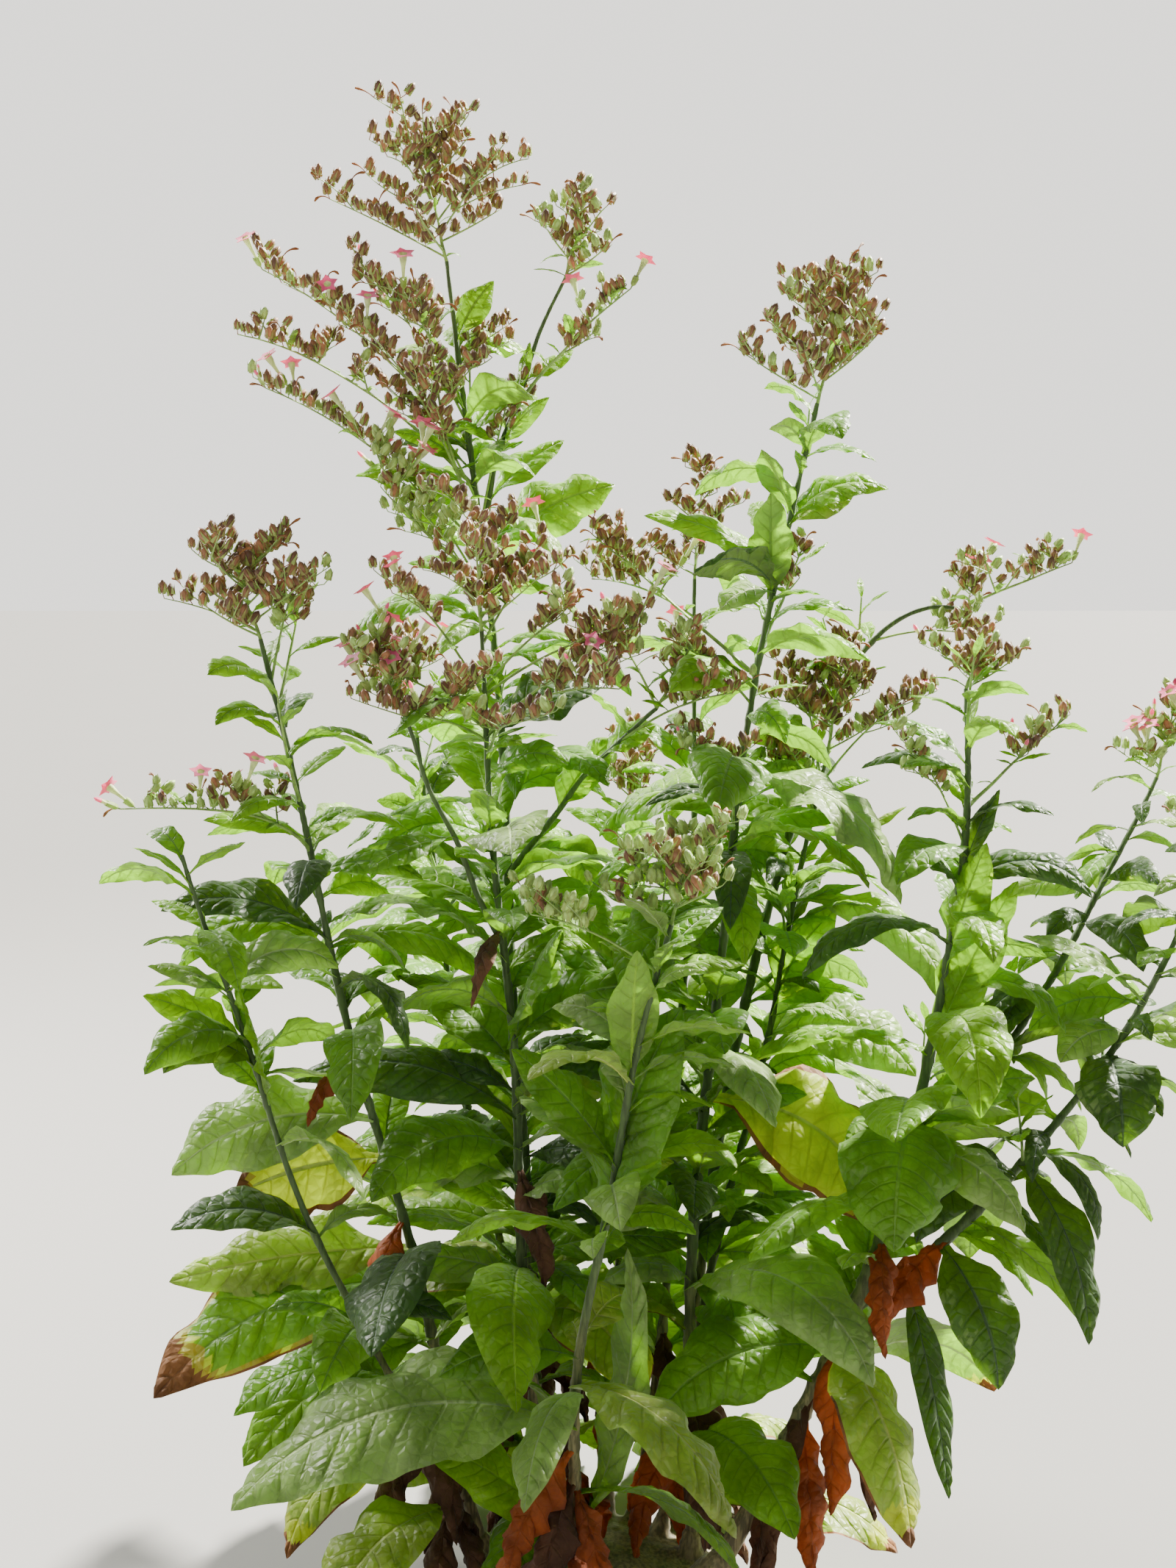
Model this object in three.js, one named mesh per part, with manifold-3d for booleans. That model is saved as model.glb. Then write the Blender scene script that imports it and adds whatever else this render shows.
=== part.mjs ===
// A flowering tobacco plant: a clump of leaning stems from one woody root crown, with broad
// clasping leaves on every stem and an open panicle of seed capsules at the end of each limb.
// Millimetres, +Z up. The ground is z = 0, and the origin is the middle of the flat cut under the
// root crown. +X is to the right and +Y to the back of a person looking at the plant's front.
// Angles are in degrees: a heading of 0 points to +X, 90 to the back, 180 to -X, 270 to the front.
import * as THREE from 'three';
import { mergeVertices } from 'three/addons/utils/BufferGeometryUtils.js';
import Module from 'manifold-3d';

const wasm = await Module();
wasm.setup();

// Driving sizes

const CLEAR = 0.4;                 // gap between a limb and what clasps it
const FOOT_HEIGHT = 14;            // the stems start this high, in sockets in the root crown
const CROWN = { wide: 205, deep: 158, high: 60, lobes: 5, lobe: 0.07, around: 16 };
const CROWN_PROFILE = [[0, 1], [0.35, 0.95], [0.75, 0.7], [1, 0.3]];  // shares of height and width
// A limb's sides, the length between two of its sections, about, and how far it sways.
const STEM = { sides: 5, step: 255, sway: 7 };
const BOUGH = { sides: 5, step: 105, sway: 4 };
// A panicle's axis, with its radius at foot and tip where it goes on from a limb and on its side.
const AXIS = { sides: 4, step: 70, sway: 2, onTip: [2.9, 1.6], onSide: [3.4, 1.6] };
const SLEEVE = 2.2;                // thickness of the leaf bases that clasp a stem
const LEAF_TURN = 137.5;           // each leaf stands this far round the stem from the last
const LEAF_THICKNESS = 1 / 55;     // of the leaf's length, at its midrib
const LEAF_STEPS = 24;             // steps along a midrib
const LONG_LEAF = 170;             // a leaf longer than this has one section more
const PETIOLE = 0.11;              // share of the leaf's length that is its winged stalk
const WING = 0.13;                 // width of that stalk, as a share of the leaf's width
const ROOT_SHARE = 0.4;            // and of its root inside the clasping base, as a share of that
const CAPSULE = { long: 34, wide: 14, gap: 108 };
const FLOWER = { long: 47, wide: 21 };
const TWIG = { foot: 2.5, tip: 1.3, room: 7 };
const NET = 12;                    // spacing of the points that stand for a leaf's surface
const LEAF_ROOM = 9.4;             // free room round each of those points
const LIMB_ROOM = 2.5;             // and round a limb, on top of its radius
const LIMB_NET = 9;                // spacing of the points along a limb
const SWAY_PHASE = 1.7;            // each limb sways this much later than the last, in radians
const CROWN_ROOM = { sunk: 9, radius: 13 };  // and round points that lie under the crown's top
const LEAF_TRIES = 14;             // a leaf is tried in this many places before it is left out
const LEAF_SHRINK = 0.962;         // and is this much smaller at each

// Each stem: its foot, a point that it passes half way, its tip, and its radius at foot and tip.
const STEMS = {
  tall: { foot: [-97, 55], knee: [-128, 118, 1000], tip: [-220, 155, 1965], radius: [11, 3.2] },
  middle: { foot: [-70, -22], knee: [-124, -3, 750], tip: [-162, -50, 1440], radius: [10, 3.2] },
  left: { foot: [-162, -12], knee: [-300, -42, 640], tip: [-466, -70, 1430], radius: [10.5, 3.2] },
  far_left: { foot: [-138, -72], knee: [-392, -130, 600], tip: [-562, -170, 1145], radius: [7.5, 2.6] },
  front: { foot: [-30, -118], knee: [-12, -195, 520], tip: [96, -245, 1065], radius: [10, 3.2] },
  right_centre: { foot: [146, -6], knee: [170, 30, 900], tip: [309, 30, 1755], radius: [10.5, 3.2] },
  right: { foot: [145, -84], knee: [447, -47, 690], tip: [523, 0, 1355], radius: [16, 3.4] },
  rear: { foot: [58, 96], knee: [132, 245, 700], tip: [153, 310, 1500], radius: [9, 3] },
  inner_right: { foot: [86, 34], knee: [225, 150, 640], tip: [350, 180, 1240], radius: [8.5, 3] },
  far_arch: { foot: [118, 84], knee: [300, 235, 1130], tip: [560, 272, 1455], radius: [9.5, 3] },
  back_left: { foot: [-52, 104], knee: [-200, 335, 600], tip: [-300, 480, 1230], radius: [9, 3] },
  back_centre: { foot: [8, 112], knee: [50, 370, 560], tip: [70, 560, 1090], radius: [8.5, 3] },
};

// Each bough leaves its stem at the height `from`.
const BOUGHS = {
  upper_bough: { parent: 'tall', from: 1560, knee: [-125, 168, 1755], tip: [-48, 190, 1945],
    radius: [5, 2.8] },
  middle_bough: { parent: 'middle', from: 985, knee: [-212, -52, 1165], tip: [-268, -74, 1325],
    radius: [5, 2.8] },
  diagonal_bough: { parent: 'tall', from: 1060, knee: [-22, 66, 1215], tip: [84, 20, 1325],
    radius: [5.5, 2.8] },
  low_arch: { parent: 'right', from: 455, knee: [690, -2, 738], tip: [900, 28, 1125], radius: [9, 3] },
  outer_arch: { parent: 'right', from: 575, knee: [676, 128, 882], tip: [848, 165, 1205],
    radius: [8, 3] },
};

// Each panicle goes on from a limb's tip, or leaves a limb at the height `from` on its own stalk.
// `bare` is the share of its axis with no twigs, and `bloom` the share of flowers among the fruit.
const PANICLES = {
  top_panicle: { parent: 'tall', knee: [-238, 155, 2045], tip: [-252, 150, 2125], bare: 0.04,
    reach: 178, twigs: 5, start: 178, rise: 28, bloom: 0 },
  second_panicle: { parent: 'tall', from: 1575, knee: [-218, 100, 1715], tip: [-246, 48, 1910],
    bare: 0.5, reach: 108, twigs: 4, start: 190, rise: 30, bloom: 0 },
  upper_panicle: { parent: 'upper_bough', knee: [-36, 192, 1990], tip: [-22, 192, 2040], bare: 0.05,
    reach: 92, twigs: 3, start: 350, rise: 35, bloom: 0 },
  fork_panicle: { parent: 'upper_bough', from: 1752, knee: [-48, 158, 1842], tip: [48, 138, 1925],
    bare: 0.45, reach: 55, twigs: 2, start: 10, rise: 30, bloom: 0.1 },
  upper_left_panicle: { parent: 'tall', from: 1640, knee: [-352, 130, 1788], tip: [-520, 116, 1858],
    bare: 0.45, reach: 66, twigs: 3, start: 255, rise: 40, bloom: 0 },
  young_panicle: { parent: 'tall', from: 1500, knee: [-268, 72, 1598], tip: [-316, 34, 1700], bare: 0.5,
    reach: 60, twigs: 3, start: 200, rise: 35, bloom: 0.7 },
  middle_panicle: { parent: 'middle', knee: [-165, -54, 1520], tip: [-158, -58, 1592], bare: 0.04,
    reach: 142, twigs: 5, start: 350, rise: 30, bloom: 0 },
  middle_bough_panicle: { parent: 'middle_bough', knee: [-288, -82, 1378], tip: [-304, -88, 1432],
    bare: 0.1, reach: 70, twigs: 3, start: 170, rise: 35, bloom: 0.15 },
  diagonal_panicle: { parent: 'diagonal_bough', knee: [108, 12, 1370], tip: [132, 6, 1420], bare: 0.1,
    reach: 58, twigs: 2, start: 340, rise: 35, bloom: 0.1 },
  left_panicle: { parent: 'left', knee: [-482, -72, 1482], tip: [-494, -72, 1536], bare: 0.04,
    reach: 135, twigs: 5, start: 185, rise: 20, bloom: 0 },
  left_low_panicle: { parent: 'left', from: 1128, knee: [-478, -92, 1186], tip: [-655, -118, 1200],
    bare: 0.35, reach: 62, twigs: 4, start: 100, rise: 45, bloom: 0.45 },
  front_panicle: { parent: 'front', knee: [106, -248, 1112], tip: [116, -250, 1160], bare: 0.04,
    reach: 118, twigs: 5, start: 175, rise: 22, bloom: 0 },
  centre_panicle: { parent: 'right_centre', knee: [326, 30, 1830], tip: [345, 30, 1896], bare: 0.04,
    reach: 145, twigs: 5, start: 185, rise: 28, bloom: 0 },
  thin_panicle: { parent: 'right_centre', from: 1370, knee: [90, 52, 1490], tip: [-8, 74, 1572],
    bare: 0.5, reach: 66, twigs: 3, start: 60, rise: 35, bloom: 0.1 },
  centre_side_panicle: { parent: 'right_centre', from: 1405, knee: [264, 42, 1480],
    tip: [298, 48, 1565], bare: 0.55, reach: 34, twigs: 2, start: 330, rise: 35, bloom: 0.2 },
  rear_panicle: { parent: 'rear', knee: [160, 314, 1585], tip: [166, 318, 1668], bare: 0.04, reach: 82,
    twigs: 3, start: 200, rise: 30, bloom: 0 },
  inner_panicle: { parent: 'inner_right', knee: [360, 184, 1312], tip: [368, 188, 1376], bare: 0.04,
    reach: 102, twigs: 4, start: 10, rise: 28, bloom: 0 },
  far_panicle: { parent: 'far_arch', knee: [650, 278, 1492], tip: [738, 284, 1526], bare: 0.08,
    reach: 76, twigs: 4, start: 80, rise: 40, bloom: 0.35 },
  right_panicle: { parent: 'right', knee: [534, 0, 1384], tip: [545, 2, 1412], bare: 0.04, reach: 84,
    twigs: 4, start: 5, rise: 18, bloom: 0.05 },
  right_side_panicle: { parent: 'right', from: 1185, knee: [592, 32, 1236], tip: [690, 70, 1312],
    bare: 0.55, reach: 52, twigs: 2, start: 40, rise: 35, bloom: 0.3 },
  low_arch_panicle: { parent: 'low_arch', knee: [928, 32, 1178], tip: [948, 36, 1232], bare: 0.04,
    reach: 88, twigs: 3, start: 150, rise: 30, bloom: 0.3 },
  outer_arch_panicle: { parent: 'outer_arch', knee: [862, 168, 1262], tip: [872, 170, 1312], bare: 0.04,
    reach: 80, twigs: 3, start: 170, rise: 30, bloom: 0.45 },
  back_left_panicle: { parent: 'back_left', knee: [-312, 496, 1300], tip: [-318, 502, 1366], bare: 0.04,
    reach: 112, twigs: 4, start: 30, rise: 28, bloom: 0.1 },
  back_centre_panicle: { parent: 'back_centre', knee: [74, 578, 1160], tip: [75, 584, 1224], bare: 0.04,
    reach: 104, twigs: 4, start: 70, rise: 28, bloom: 0.1 },
};

// Each set of leaves clasps one limb between two heights. `long` is the leaves' length at the low
// and high end, `slim` their length over their width, `start` the lowest leaf's heading, and `hang`
// how far they hang below the other sets' leaves. `shown` lists the leaves that stand out, as
// height, heading, length, rise, droop, roll and slimness.
const LEAVES = {
  tall_low_leaves: { limb: 'tall', between: [100, 820], count: 11, long: [400, 350], slim: 2.3,
    start: 100, shown: [[560, 118, 330, 40, 25, 0, 2.6]] },
  tall_high_leaves: { limb: 'tall', between: [900, 1830], count: 17, long: [340, 165], slim: 2.5,
    start: 20, shown: [[1290, 200, 190, 25, 40, 20, 3.2], [1400, 330, 150, 35, 30, -20, 3.4]] },
  middle_leaves: { limb: 'middle', between: [70, 1330], count: 16, long: [410, 215], slim: 2.3,
    start: 305, shown: [[480, 184, 300, 22, 20, 30, 2.9], [650, 182, 315, 30, 32, 30, 2.8],
      [735, 186, 420, 42, 28, 25, 2.9], [1010, 245, 150, -10, 80, 0, 3]] },
  left_low_leaves: { limb: 'left', between: [80, 800], count: 7, long: [400, 340], slim: 2.3,
    start: 60, shown: [[270, 202, 275, 5, 62, 20, 2.6], [490, 200, 400, 14, 42, 25, 2.6],
      [568, 187, 300, 12, 22, 30, 2.8], [700, 194, 225, 12, 32, 30, 2.3],
      [752, 190, 340, 26, 40, 25, 2.8]] },
  left_high_leaves: { limb: 'left', between: [830, 1380], count: 11, long: [300, 135], slim: 2.5,
    start: 300, shown: [[1005, 187, 285, 38, 38, 30, 2.9]] },
  far_left_leaves: { limb: 'far_left', between: [120, 1110], count: 11, long: [310, 140], slim: 2.4,
    start: 225, shown: [[800, 200, 185, 76, -50, 10, 2.7], [925, 188, 165, 32, 8, 30, 2.8]] },
  front_leaves: { limb: 'front', between: [60, 1010], count: 10, long: [350, 150], slim: 2.4,
    start: 200, shown: [[125, 188, 290, 38, -12, 20, 2.5], [335, 190, 480, 26, 52, 20, 2.4],
      [140, 330, 430, 84, -76, 0, 4.2], [400, 318, 330, 12, 74, 15, 2.2],
      [600, 342, 400, 78, -42, -10, 2.8], [725, 168, 215, 58, -35, 30, 2.6],
      [850, 275, 190, 84, -72, 0, 3]] },
  centre_low_leaves: { limb: 'right_centre', between: [80, 900], count: 12, long: [400, 340], slim: 2.3,
    start: 350, shown: [[745, 212, 265, -8, 72, 20, 2.2]] },
  centre_high_leaves: { limb: 'right_centre', between: [960, 1720], count: 13, long: [330, 140], slim: 2.5,
    start: 80, shown: [[1235, 335, 370, 34, 84, -20, 2.7], [1480, 268, 195, 74, -50, 0, 2.8],
      [1530, 182, 170, 40, 2, 30, 2.5], [1600, 15, 110, 40, 0, -30, 2.6],
      [1680, 350, 110, 35, 20, -20, 3.1]] },
  rear_leaves: { limb: 'rear', between: [80, 1400], count: 10, long: [380, 170], slim: 2.4,
    start: 60, shown: [] },
  inner_leaves: { limb: 'inner_right', between: [120, 1180], count: 10, long: [340, 190], slim: 2.4,
    start: 330, shown: [] },
  far_arch_leaves: { limb: 'far_arch', between: [100, 1400], count: 10, long: [350, 170], slim: 2.5,
    start: 45, shown: [] },
  right_low_leaves: { limb: 'right', between: [300, 780], count: 8, long: [360, 320], slim: 2.2,
    start: 20, shown: [[410, 285, 320, 5, 82, 20, 2.8], [560, 262, 190, -15, 84, 0, 2.4],
      [735, 262, 250, 12, 86, 15, 1.8], [700, 322, 220, 10, 72, -20, 2.3]] },
  right_high_leaves: { limb: 'right', between: [810, 1300], count: 10, long: [310, 140], slim: 2.4,
    start: 140, shown: [] },
  low_arch_leaves: { limb: 'low_arch', between: [495, 1080], count: 11, long: [270, 150], slim: 2.5, hang: 22,
    start: 300, shown: [[505, 305, 235, -18, 80, 10, 3.2]] },
  outer_arch_leaves: { limb: 'outer_arch', between: [640, 1160], count: 11, long: [255, 150], slim: 2.5, hang: 22,
    start: 60, shown: [] },
  back_left_leaves: { limb: 'back_left', between: [80, 1180], count: 10, long: [410, 165], slim: 2.4,
    start: 130, shown: [] },
  back_centre_leaves: { limb: 'back_centre', between: [80, 1040], count: 9, long: [410, 180], slim: 2.4,
    start: 84, shown: [] },
};

const COLOURS = { wood: 0x6b5b45, stem: 0x66703f, leaf: 0x5c8a3c, panicle: 0x83693f };

// Numbers and vectors

const vec = (x, y, z) => new THREE.Vector3(x, y, z);
const mix = (a, b, f) => a + (b - a) * f;
const between = (a, b, f) => a.clone().lerp(b, f);
const turn = (degrees) => (degrees * Math.PI) / 180;

// A seeded run of numbers between 0 and 1, so that the plant always grows the same.
class Dice {
  constructor(seed) {
    this.state = (seed * 7919 + 17) % 4294967296;
    for (let i = 0; i < 4; i += 1) this.next();
  }

  next() {
    this.state = (this.state * 1664525 + 1013904223) % 4294967296;
    return this.state / 4294967296;
  }

  range(low, high) {
    return mix(low, high, this.next());
  }
}

// Paths

// A limb's centre line: a curve from its foot to its tip through its knee, with a slight sway.
class LimbPath {
  constructor(foot, knee, tip, sway, phase) {
    Object.assign(this, { foot, tip, sway, phase });
    this.pull = knee.clone().multiplyScalar(2).sub(foot.clone().add(tip).multiplyScalar(0.5));
  }

  point(t) {
    const p = this.foot.clone().multiplyScalar((1 - t) ** 2);
    p.addScaledVector(this.pull, 2 * t * (1 - t)).addScaledVector(this.tip, t * t);
    const swing = this.sway * Math.sin(Math.PI * t);
    p.x += swing * Math.sin(11 * t + this.phase);
    p.y += swing * Math.cos(9 * t + this.phase);
    return p;
  }

  tangent(t) {
    return this.point(t + 0.004).sub(this.point(t - 0.004)).normalize();
  }

  // The share of the way along at which the path is at height z.
  at(z) {
    let low = 0;
    let high = 1;
    for (let i = 0; i < 30; i += 1) {
      const middle = (low + high) / 2;
      if (this.point(middle).z < z) low = middle;
      else high = middle;
    }
    return (low + high) / 2;
  }
}

// A leaf's midrib or a twig: it leaves `base` at its heading and rise, and bends to its droop.
function arc({ base, heading, rise, droop, length, swing = 0, roll = 0 }) {
  const frames = [];
  const step = length / LEAF_STEPS;
  const aim = (s) => {
    const up = turn(rise - (rise + droop) * s ** 1.2);
    const round = turn(heading + swing * s);
    return vec(Math.cos(up) * Math.cos(round), Math.cos(up) * Math.sin(round), Math.sin(up));
  };
  const point = base.clone();
  for (let k = 0; k <= LEAF_STEPS; k += 1) {
    const s = k / LEAF_STEPS;
    const along = aim(s);
    const round = turn(heading + swing * s);
    const side = vec(Math.sin(round), -Math.cos(round), 0);
    const over = side.clone().cross(along);
    const rolled = turn(roll * Math.min(1, s / 0.35));
    frames.push({
      point: point.clone(),
      along,
      side: side.clone().multiplyScalar(Math.cos(rolled)).addScaledVector(over, Math.sin(rolled)),
      over: over.clone().multiplyScalar(Math.cos(rolled)).addScaledVector(side, -Math.sin(rolled)),
    });
    point.addScaledVector(aim(s + 0.5 / LEAF_STEPS), step);
  }
  return frames;
}

// Solids

// Whether the line from a to c lies further out from the rings' middle than the one from b to d.
function liesOutside(a, b, c, d, rings) {
  const middle = vec(0, 0, 0);
  for (const p of rings.flat()) middle.addScaledVector(p, 1 / rings.flat().length);
  const out = a.clone().add(b).add(c).add(d).multiplyScalar(0.25).sub(middle);
  return a.clone().add(c).sub(b).sub(d).dot(out) > 0;
}

// A closed body through rings of points, each ring given in the same order. The last ring can be
// one point, which makes a tip. In a full body each four-sided face is split along the line that
// lies further out, so that a twisted body stays clear of itself.
function loft(rings, full = false) {
  const size = rings[0].length;
  const points = rings.flat();
  const faces = [];
  for (let i = 1; i < size - 1; i += 1) faces.push(0, i + 1, i);
  for (let r = 0; r + 1 < rings.length; r += 1) {
    const low = r * size;
    const high = low + size;
    for (let i = 0; i < size; i += 1) {
      const j = (i + 1) % size;
      const corners = [points[low + i], points[low + j], points[high + j], points[high + i]];
      if (rings[r + 1].length === 1) {
        faces.push(low + i, low + j, high);
      } else if (!full || liesOutside(...corners, rings.slice(r, r + 2))) {
        faces.push(low + i, low + j, high + j, low + i, high + j, high + i);
      } else {
        faces.push(low + i, low + j, high + i, low + j, high + j, high + i);
      }
    }
  }
  const last = points.length - size;
  if (rings[rings.length - 1].length > 1) {
    for (let i = 1; i < size - 1; i += 1) faces.push(last, last + i, last + i + 1);
  }
  const geometry = new THREE.BufferGeometry();
  geometry.setAttribute('position', new THREE.Float32BufferAttribute(points.flatMap((p) => p.toArray()), 3));
  geometry.setIndex(faces);
  return geometry;
}

function solid(geometry) {
  const body = geometry.clone();
  body.deleteAttribute('normal');
  body.deleteAttribute('uv');
  const merged = mergeVertices(body, 1e-4);
  return new wasm.Manifold(new wasm.Mesh({
    numProp: 3,
    vertProperties: new Float32Array(merged.attributes.position.array),
    triVerts: new Uint32Array(merged.index.array),
  }));
}

// A ring of points round a path, square to it. Its first point lies towards `towards`.
function ring(centre, tangent, radius, sides, towards = vec(0, 1, 0)) {
  const across = towards.clone().addScaledVector(tangent, -tangent.dot(towards)).normalize();
  const other = tangent.clone().cross(across);
  return Array.from({ length: sides }, (_, i) => {
    const a = (2 * Math.PI * i) / sides;
    const point = centre.clone().addScaledVector(across, radius * Math.cos(a));
    return point.addScaledVector(other, radius * Math.sin(a));
  });
}

// The ring round a limb at one of its steps, `grow` wider than the limb.
function limbRing(limb, step, grow, past = 0) {
  const t = step / limb.steps;
  const tangent = limb.path.tangent(t);
  const centre = limb.path.point(t).addScaledVector(tangent, past);
  return ring(centre, tangent, limb.radiusAt(t) + grow, limb.sides);
}

// A limb's whole tube, `past` longer at both ends.
function wholeLimb(limb, grow = 0, past = 0) {
  const rings = [];
  for (let i = 0; i <= limb.steps; i += 1) {
    rings.push(limbRing(limb, i, grow, i === 0 ? -past : i === limb.steps ? past : 0));
  }
  return solid(loft(rings));
}

// The stretch of a tube round a limb between two heights, on the limb's own facets.
function sleeveOn(limb, low, high, grow) {
  const [from, to] = [low, high].map((z) => limb.path.at(z) * limb.steps);
  const onFacets = (place) => {
    const step = Math.min(limb.steps - 1, Math.floor(place));
    const ahead = limbRing(limb, step + 1, grow);
    return limbRing(limb, step, grow).map((p, i) => between(p, ahead[i], place - step));
  };
  const rings = [onFacets(from)];
  for (let i = Math.floor(from) + 1; i < to; i += 1) rings.push(limbRing(limb, i, grow));
  return solid(loft([...rings, onFacets(to)]));
}

// The largest body of a solid: loose scraps are dropped and sealed hollows are filled.
function largest(body) {
  const parts = body.decompose();
  parts.sort((a, b) => b.volume() - a.volume());
  return parts[0];
}

const joined = (bodies) => bodies.reduce((all, one) => all.add(one));

// Room for each piece

// Points with some room round each, by owner, in a grid of cells.
class Room {
  constructor(cell = 40) {
    this.cell = cell;
    this.cells = new Map();
  }

  key(x, y, z) {
    return `${x},${y},${z}`;
  }

  add(points, radius, owner) {
    for (const p of points) {
      const key = this.key(...p.toArray().map((c) => Math.floor(c / this.cell)));
      if (!this.cells.has(key)) this.cells.set(key, []);
      this.cells.get(key).push({ p, radius, owner });
    }
  }

  free(points, radius, owners) {
    return points.every((p) => {
      const [cx, cy, cz] = p.toArray().map((c) => Math.floor(c / this.cell));
      for (let x = cx - 1; x <= cx + 1; x += 1) {
        for (let y = cy - 1; y <= cy + 1; y += 1) {
          for (let z = cz - 1; z <= cz + 1; z += 1) {
            for (const other of this.cells.get(this.key(x, y, z)) ?? []) {
              const near = radius + other.radius;
              if (!owners.includes(other.owner) && p.distanceToSquared(other.p) < near * near) return false;
            }
          }
        }
      }
      return true;
    });
  }
}

const room = new Room();

function spread(a, b, spacing) {
  const steps = Math.max(1, Math.ceil(a.distanceTo(b) / spacing));
  return Array.from({ length: steps + 1 }, (_, i) => between(a, b, i / steps));
}

// Limbs

const limbs = {};

function addLimb(name, { parent, from, foot, knee, tip, radius }, step, sides, sway) {
  const start = parent ? limbs[parent].path.point(from === undefined ? 1 : limbs[parent].path.at(from))
    : vec(...foot, FOOT_HEIGHT);
  const steps = Math.max(3, Math.round(start.distanceTo(vec(...tip)) / step));
  const limb = { name, parent, steps, sides, radius };
  const phase = Object.keys(limbs).length * SWAY_PHASE;
  limb.path = new LimbPath(start, vec(...knee), vec(...tip), sway, phase);
  limb.radiusAt = (t) => mix(radius[0], radius[1], t ** 0.8);
  limbs[name] = limb;
  const count = Math.ceil(start.distanceTo(limb.path.tip) / LIMB_NET);
  for (let i = 0; i <= count; i += 1) {
    room.add([limb.path.point(i / count)], limb.radiusAt(i / count) + LIMB_ROOM, name);
  }
  return limb;
}

for (const [name, spec] of Object.entries(STEMS)) addLimb(name, spec, STEM.step, STEM.sides, STEM.sway);
for (const [name, spec] of Object.entries(BOUGHS)) addLimb(name, spec, BOUGH.step, BOUGH.sides, BOUGH.sway);
for (const [name, spec] of Object.entries(PANICLES)) {
  const radius = spec.from === undefined ? AXIS.onTip : AXIS.onSide;
  addLimb(name, { ...spec, radius }, AXIS.step, AXIS.sides, AXIS.sway);
}

// The crown's top takes up room too, so that no leaf lies in it.
const CROWN_NET = [[0.05, 0.99], [0.35, 0.95], [0.55, 0.82], [0.75, 0.7], [0.87, 0.5], [1, 0.3], [1, 0.1]];
for (const [height, share] of CROWN_NET) {
  const sunk = crownRing(height, share, 40).map((p) => p.add(vec(0, 0, -CROWN_ROOM.sunk)));
  room.add(sunk, CROWN_ROOM.radius, 'root_crown');
}

// A limb is cut 0.4 mm clear of the one that carries it.
function limbSolid(limb) {
  const tube = wholeLimb(limb);
  return limb.parent ? largest(tube.subtract(wholeLimb(limbs[limb.parent], CLEAR, CLEAR))) : tube;
}

// One of the crown's rings, at shares of its height and of its width.
function crownRing(height, share, count) {
  return Array.from({ length: count }, (_, i) => {
    const a = (2 * Math.PI * i) / count;
    const lobes = Math.sin(CROWN.lobes * a + 0.8) + 0.4 * Math.sin(9 * a);
    const wide = share * (1 + CROWN.lobe * lobes);
    return vec(CROWN.wide * wide * Math.cos(a), CROWN.deep * wide * Math.sin(a), CROWN.high * height);
  });
}

// The woody crown: lobed rings from the flat cut up to its top, with a socket for each stem.
function crownSolid() {
  let crown = solid(loft(CROWN_PROFILE.map(([height, share]) => crownRing(height, share, CROWN.around))));
  for (const name of Object.keys(STEMS)) crown = crown.subtract(wholeLimb(limbs[name], CLEAR, CLEAR));
  return largest(crown);
}

// Leaves

// Half the leaf's width, as a share of its greatest half width, at the share s of its length.
function outline(s) {
  if (s >= 1) return 0;
  const u = Math.max(0, (s - PETIOLE) / (1 - PETIOLE));
  const blade = Math.sin(Math.PI * u ** 0.86) ** 0.9 * (1 - 0.12 * u);
  return Math.max(blade, WING * (1 - 0.4 * s));
}

// The leaf's sections: its left edge, its midrib and its right edge, folded up along the midrib.
// The solid fills that fold.
function leafSections(leaf) {
  const frames = arc(leaf);
  const steps = leaf.length > LONG_LEAF ? [0, 3, 9, 16, 24] : [0, 3, 13, 24];
  return steps.map((k) => {
    const { point, side, over } = frames[k];
    const half = 0.5 * leaf.width * outline(k / LEAF_STEPS);
    const fold = turn(leaf.fold);
    const reach = side.clone().multiplyScalar(half * Math.cos(fold));
    const lift = over.clone().multiplyScalar(half * Math.sin(fold));
    return {
      left: point.clone().sub(reach).add(lift),
      middle: point,
      right: point.clone().add(reach).add(lift),
      over,
    };
  });
}

// Points over the leaf, first those near its root and then those of its blade.
function leafNet(sections) {
  const nets = [[], []];
  for (let i = 1; i + 1 < sections.length; i += 1) {
    const points = nets[i === 1 ? 0 : 1];
    const [a, b] = [sections[i], sections[i + 1]];
    const rows = Math.max(1, Math.ceil(a.middle.distanceTo(b.middle) / NET));
    for (let r = 0; r <= rows; r += 1) {
      const middle = between(a.middle, b.middle, r / rows);
      points.push(...spread(between(a.left, b.left, r / rows), middle, NET));
      points.push(...spread(middle, between(a.right, b.right, r / rows), NET));
    }
  }
  return nets;
}

function leafSolid(leaf) {
  const half = 0.5 * LEAF_THICKNESS * leaf.length;
  const rings = leafSections(leaf).map(({ left, middle, right, over }, i, all) => {
    if (i === all.length - 1) return [middle];
    const share = i === 0 ? ROOT_SHARE : 1;
    const under = middle.clone().addScaledVector(over, -2 * half * share);
    return [between(middle, left, share), between(middle, right, share), under];
  });
  return solid(loft(rings, true));
}

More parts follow.
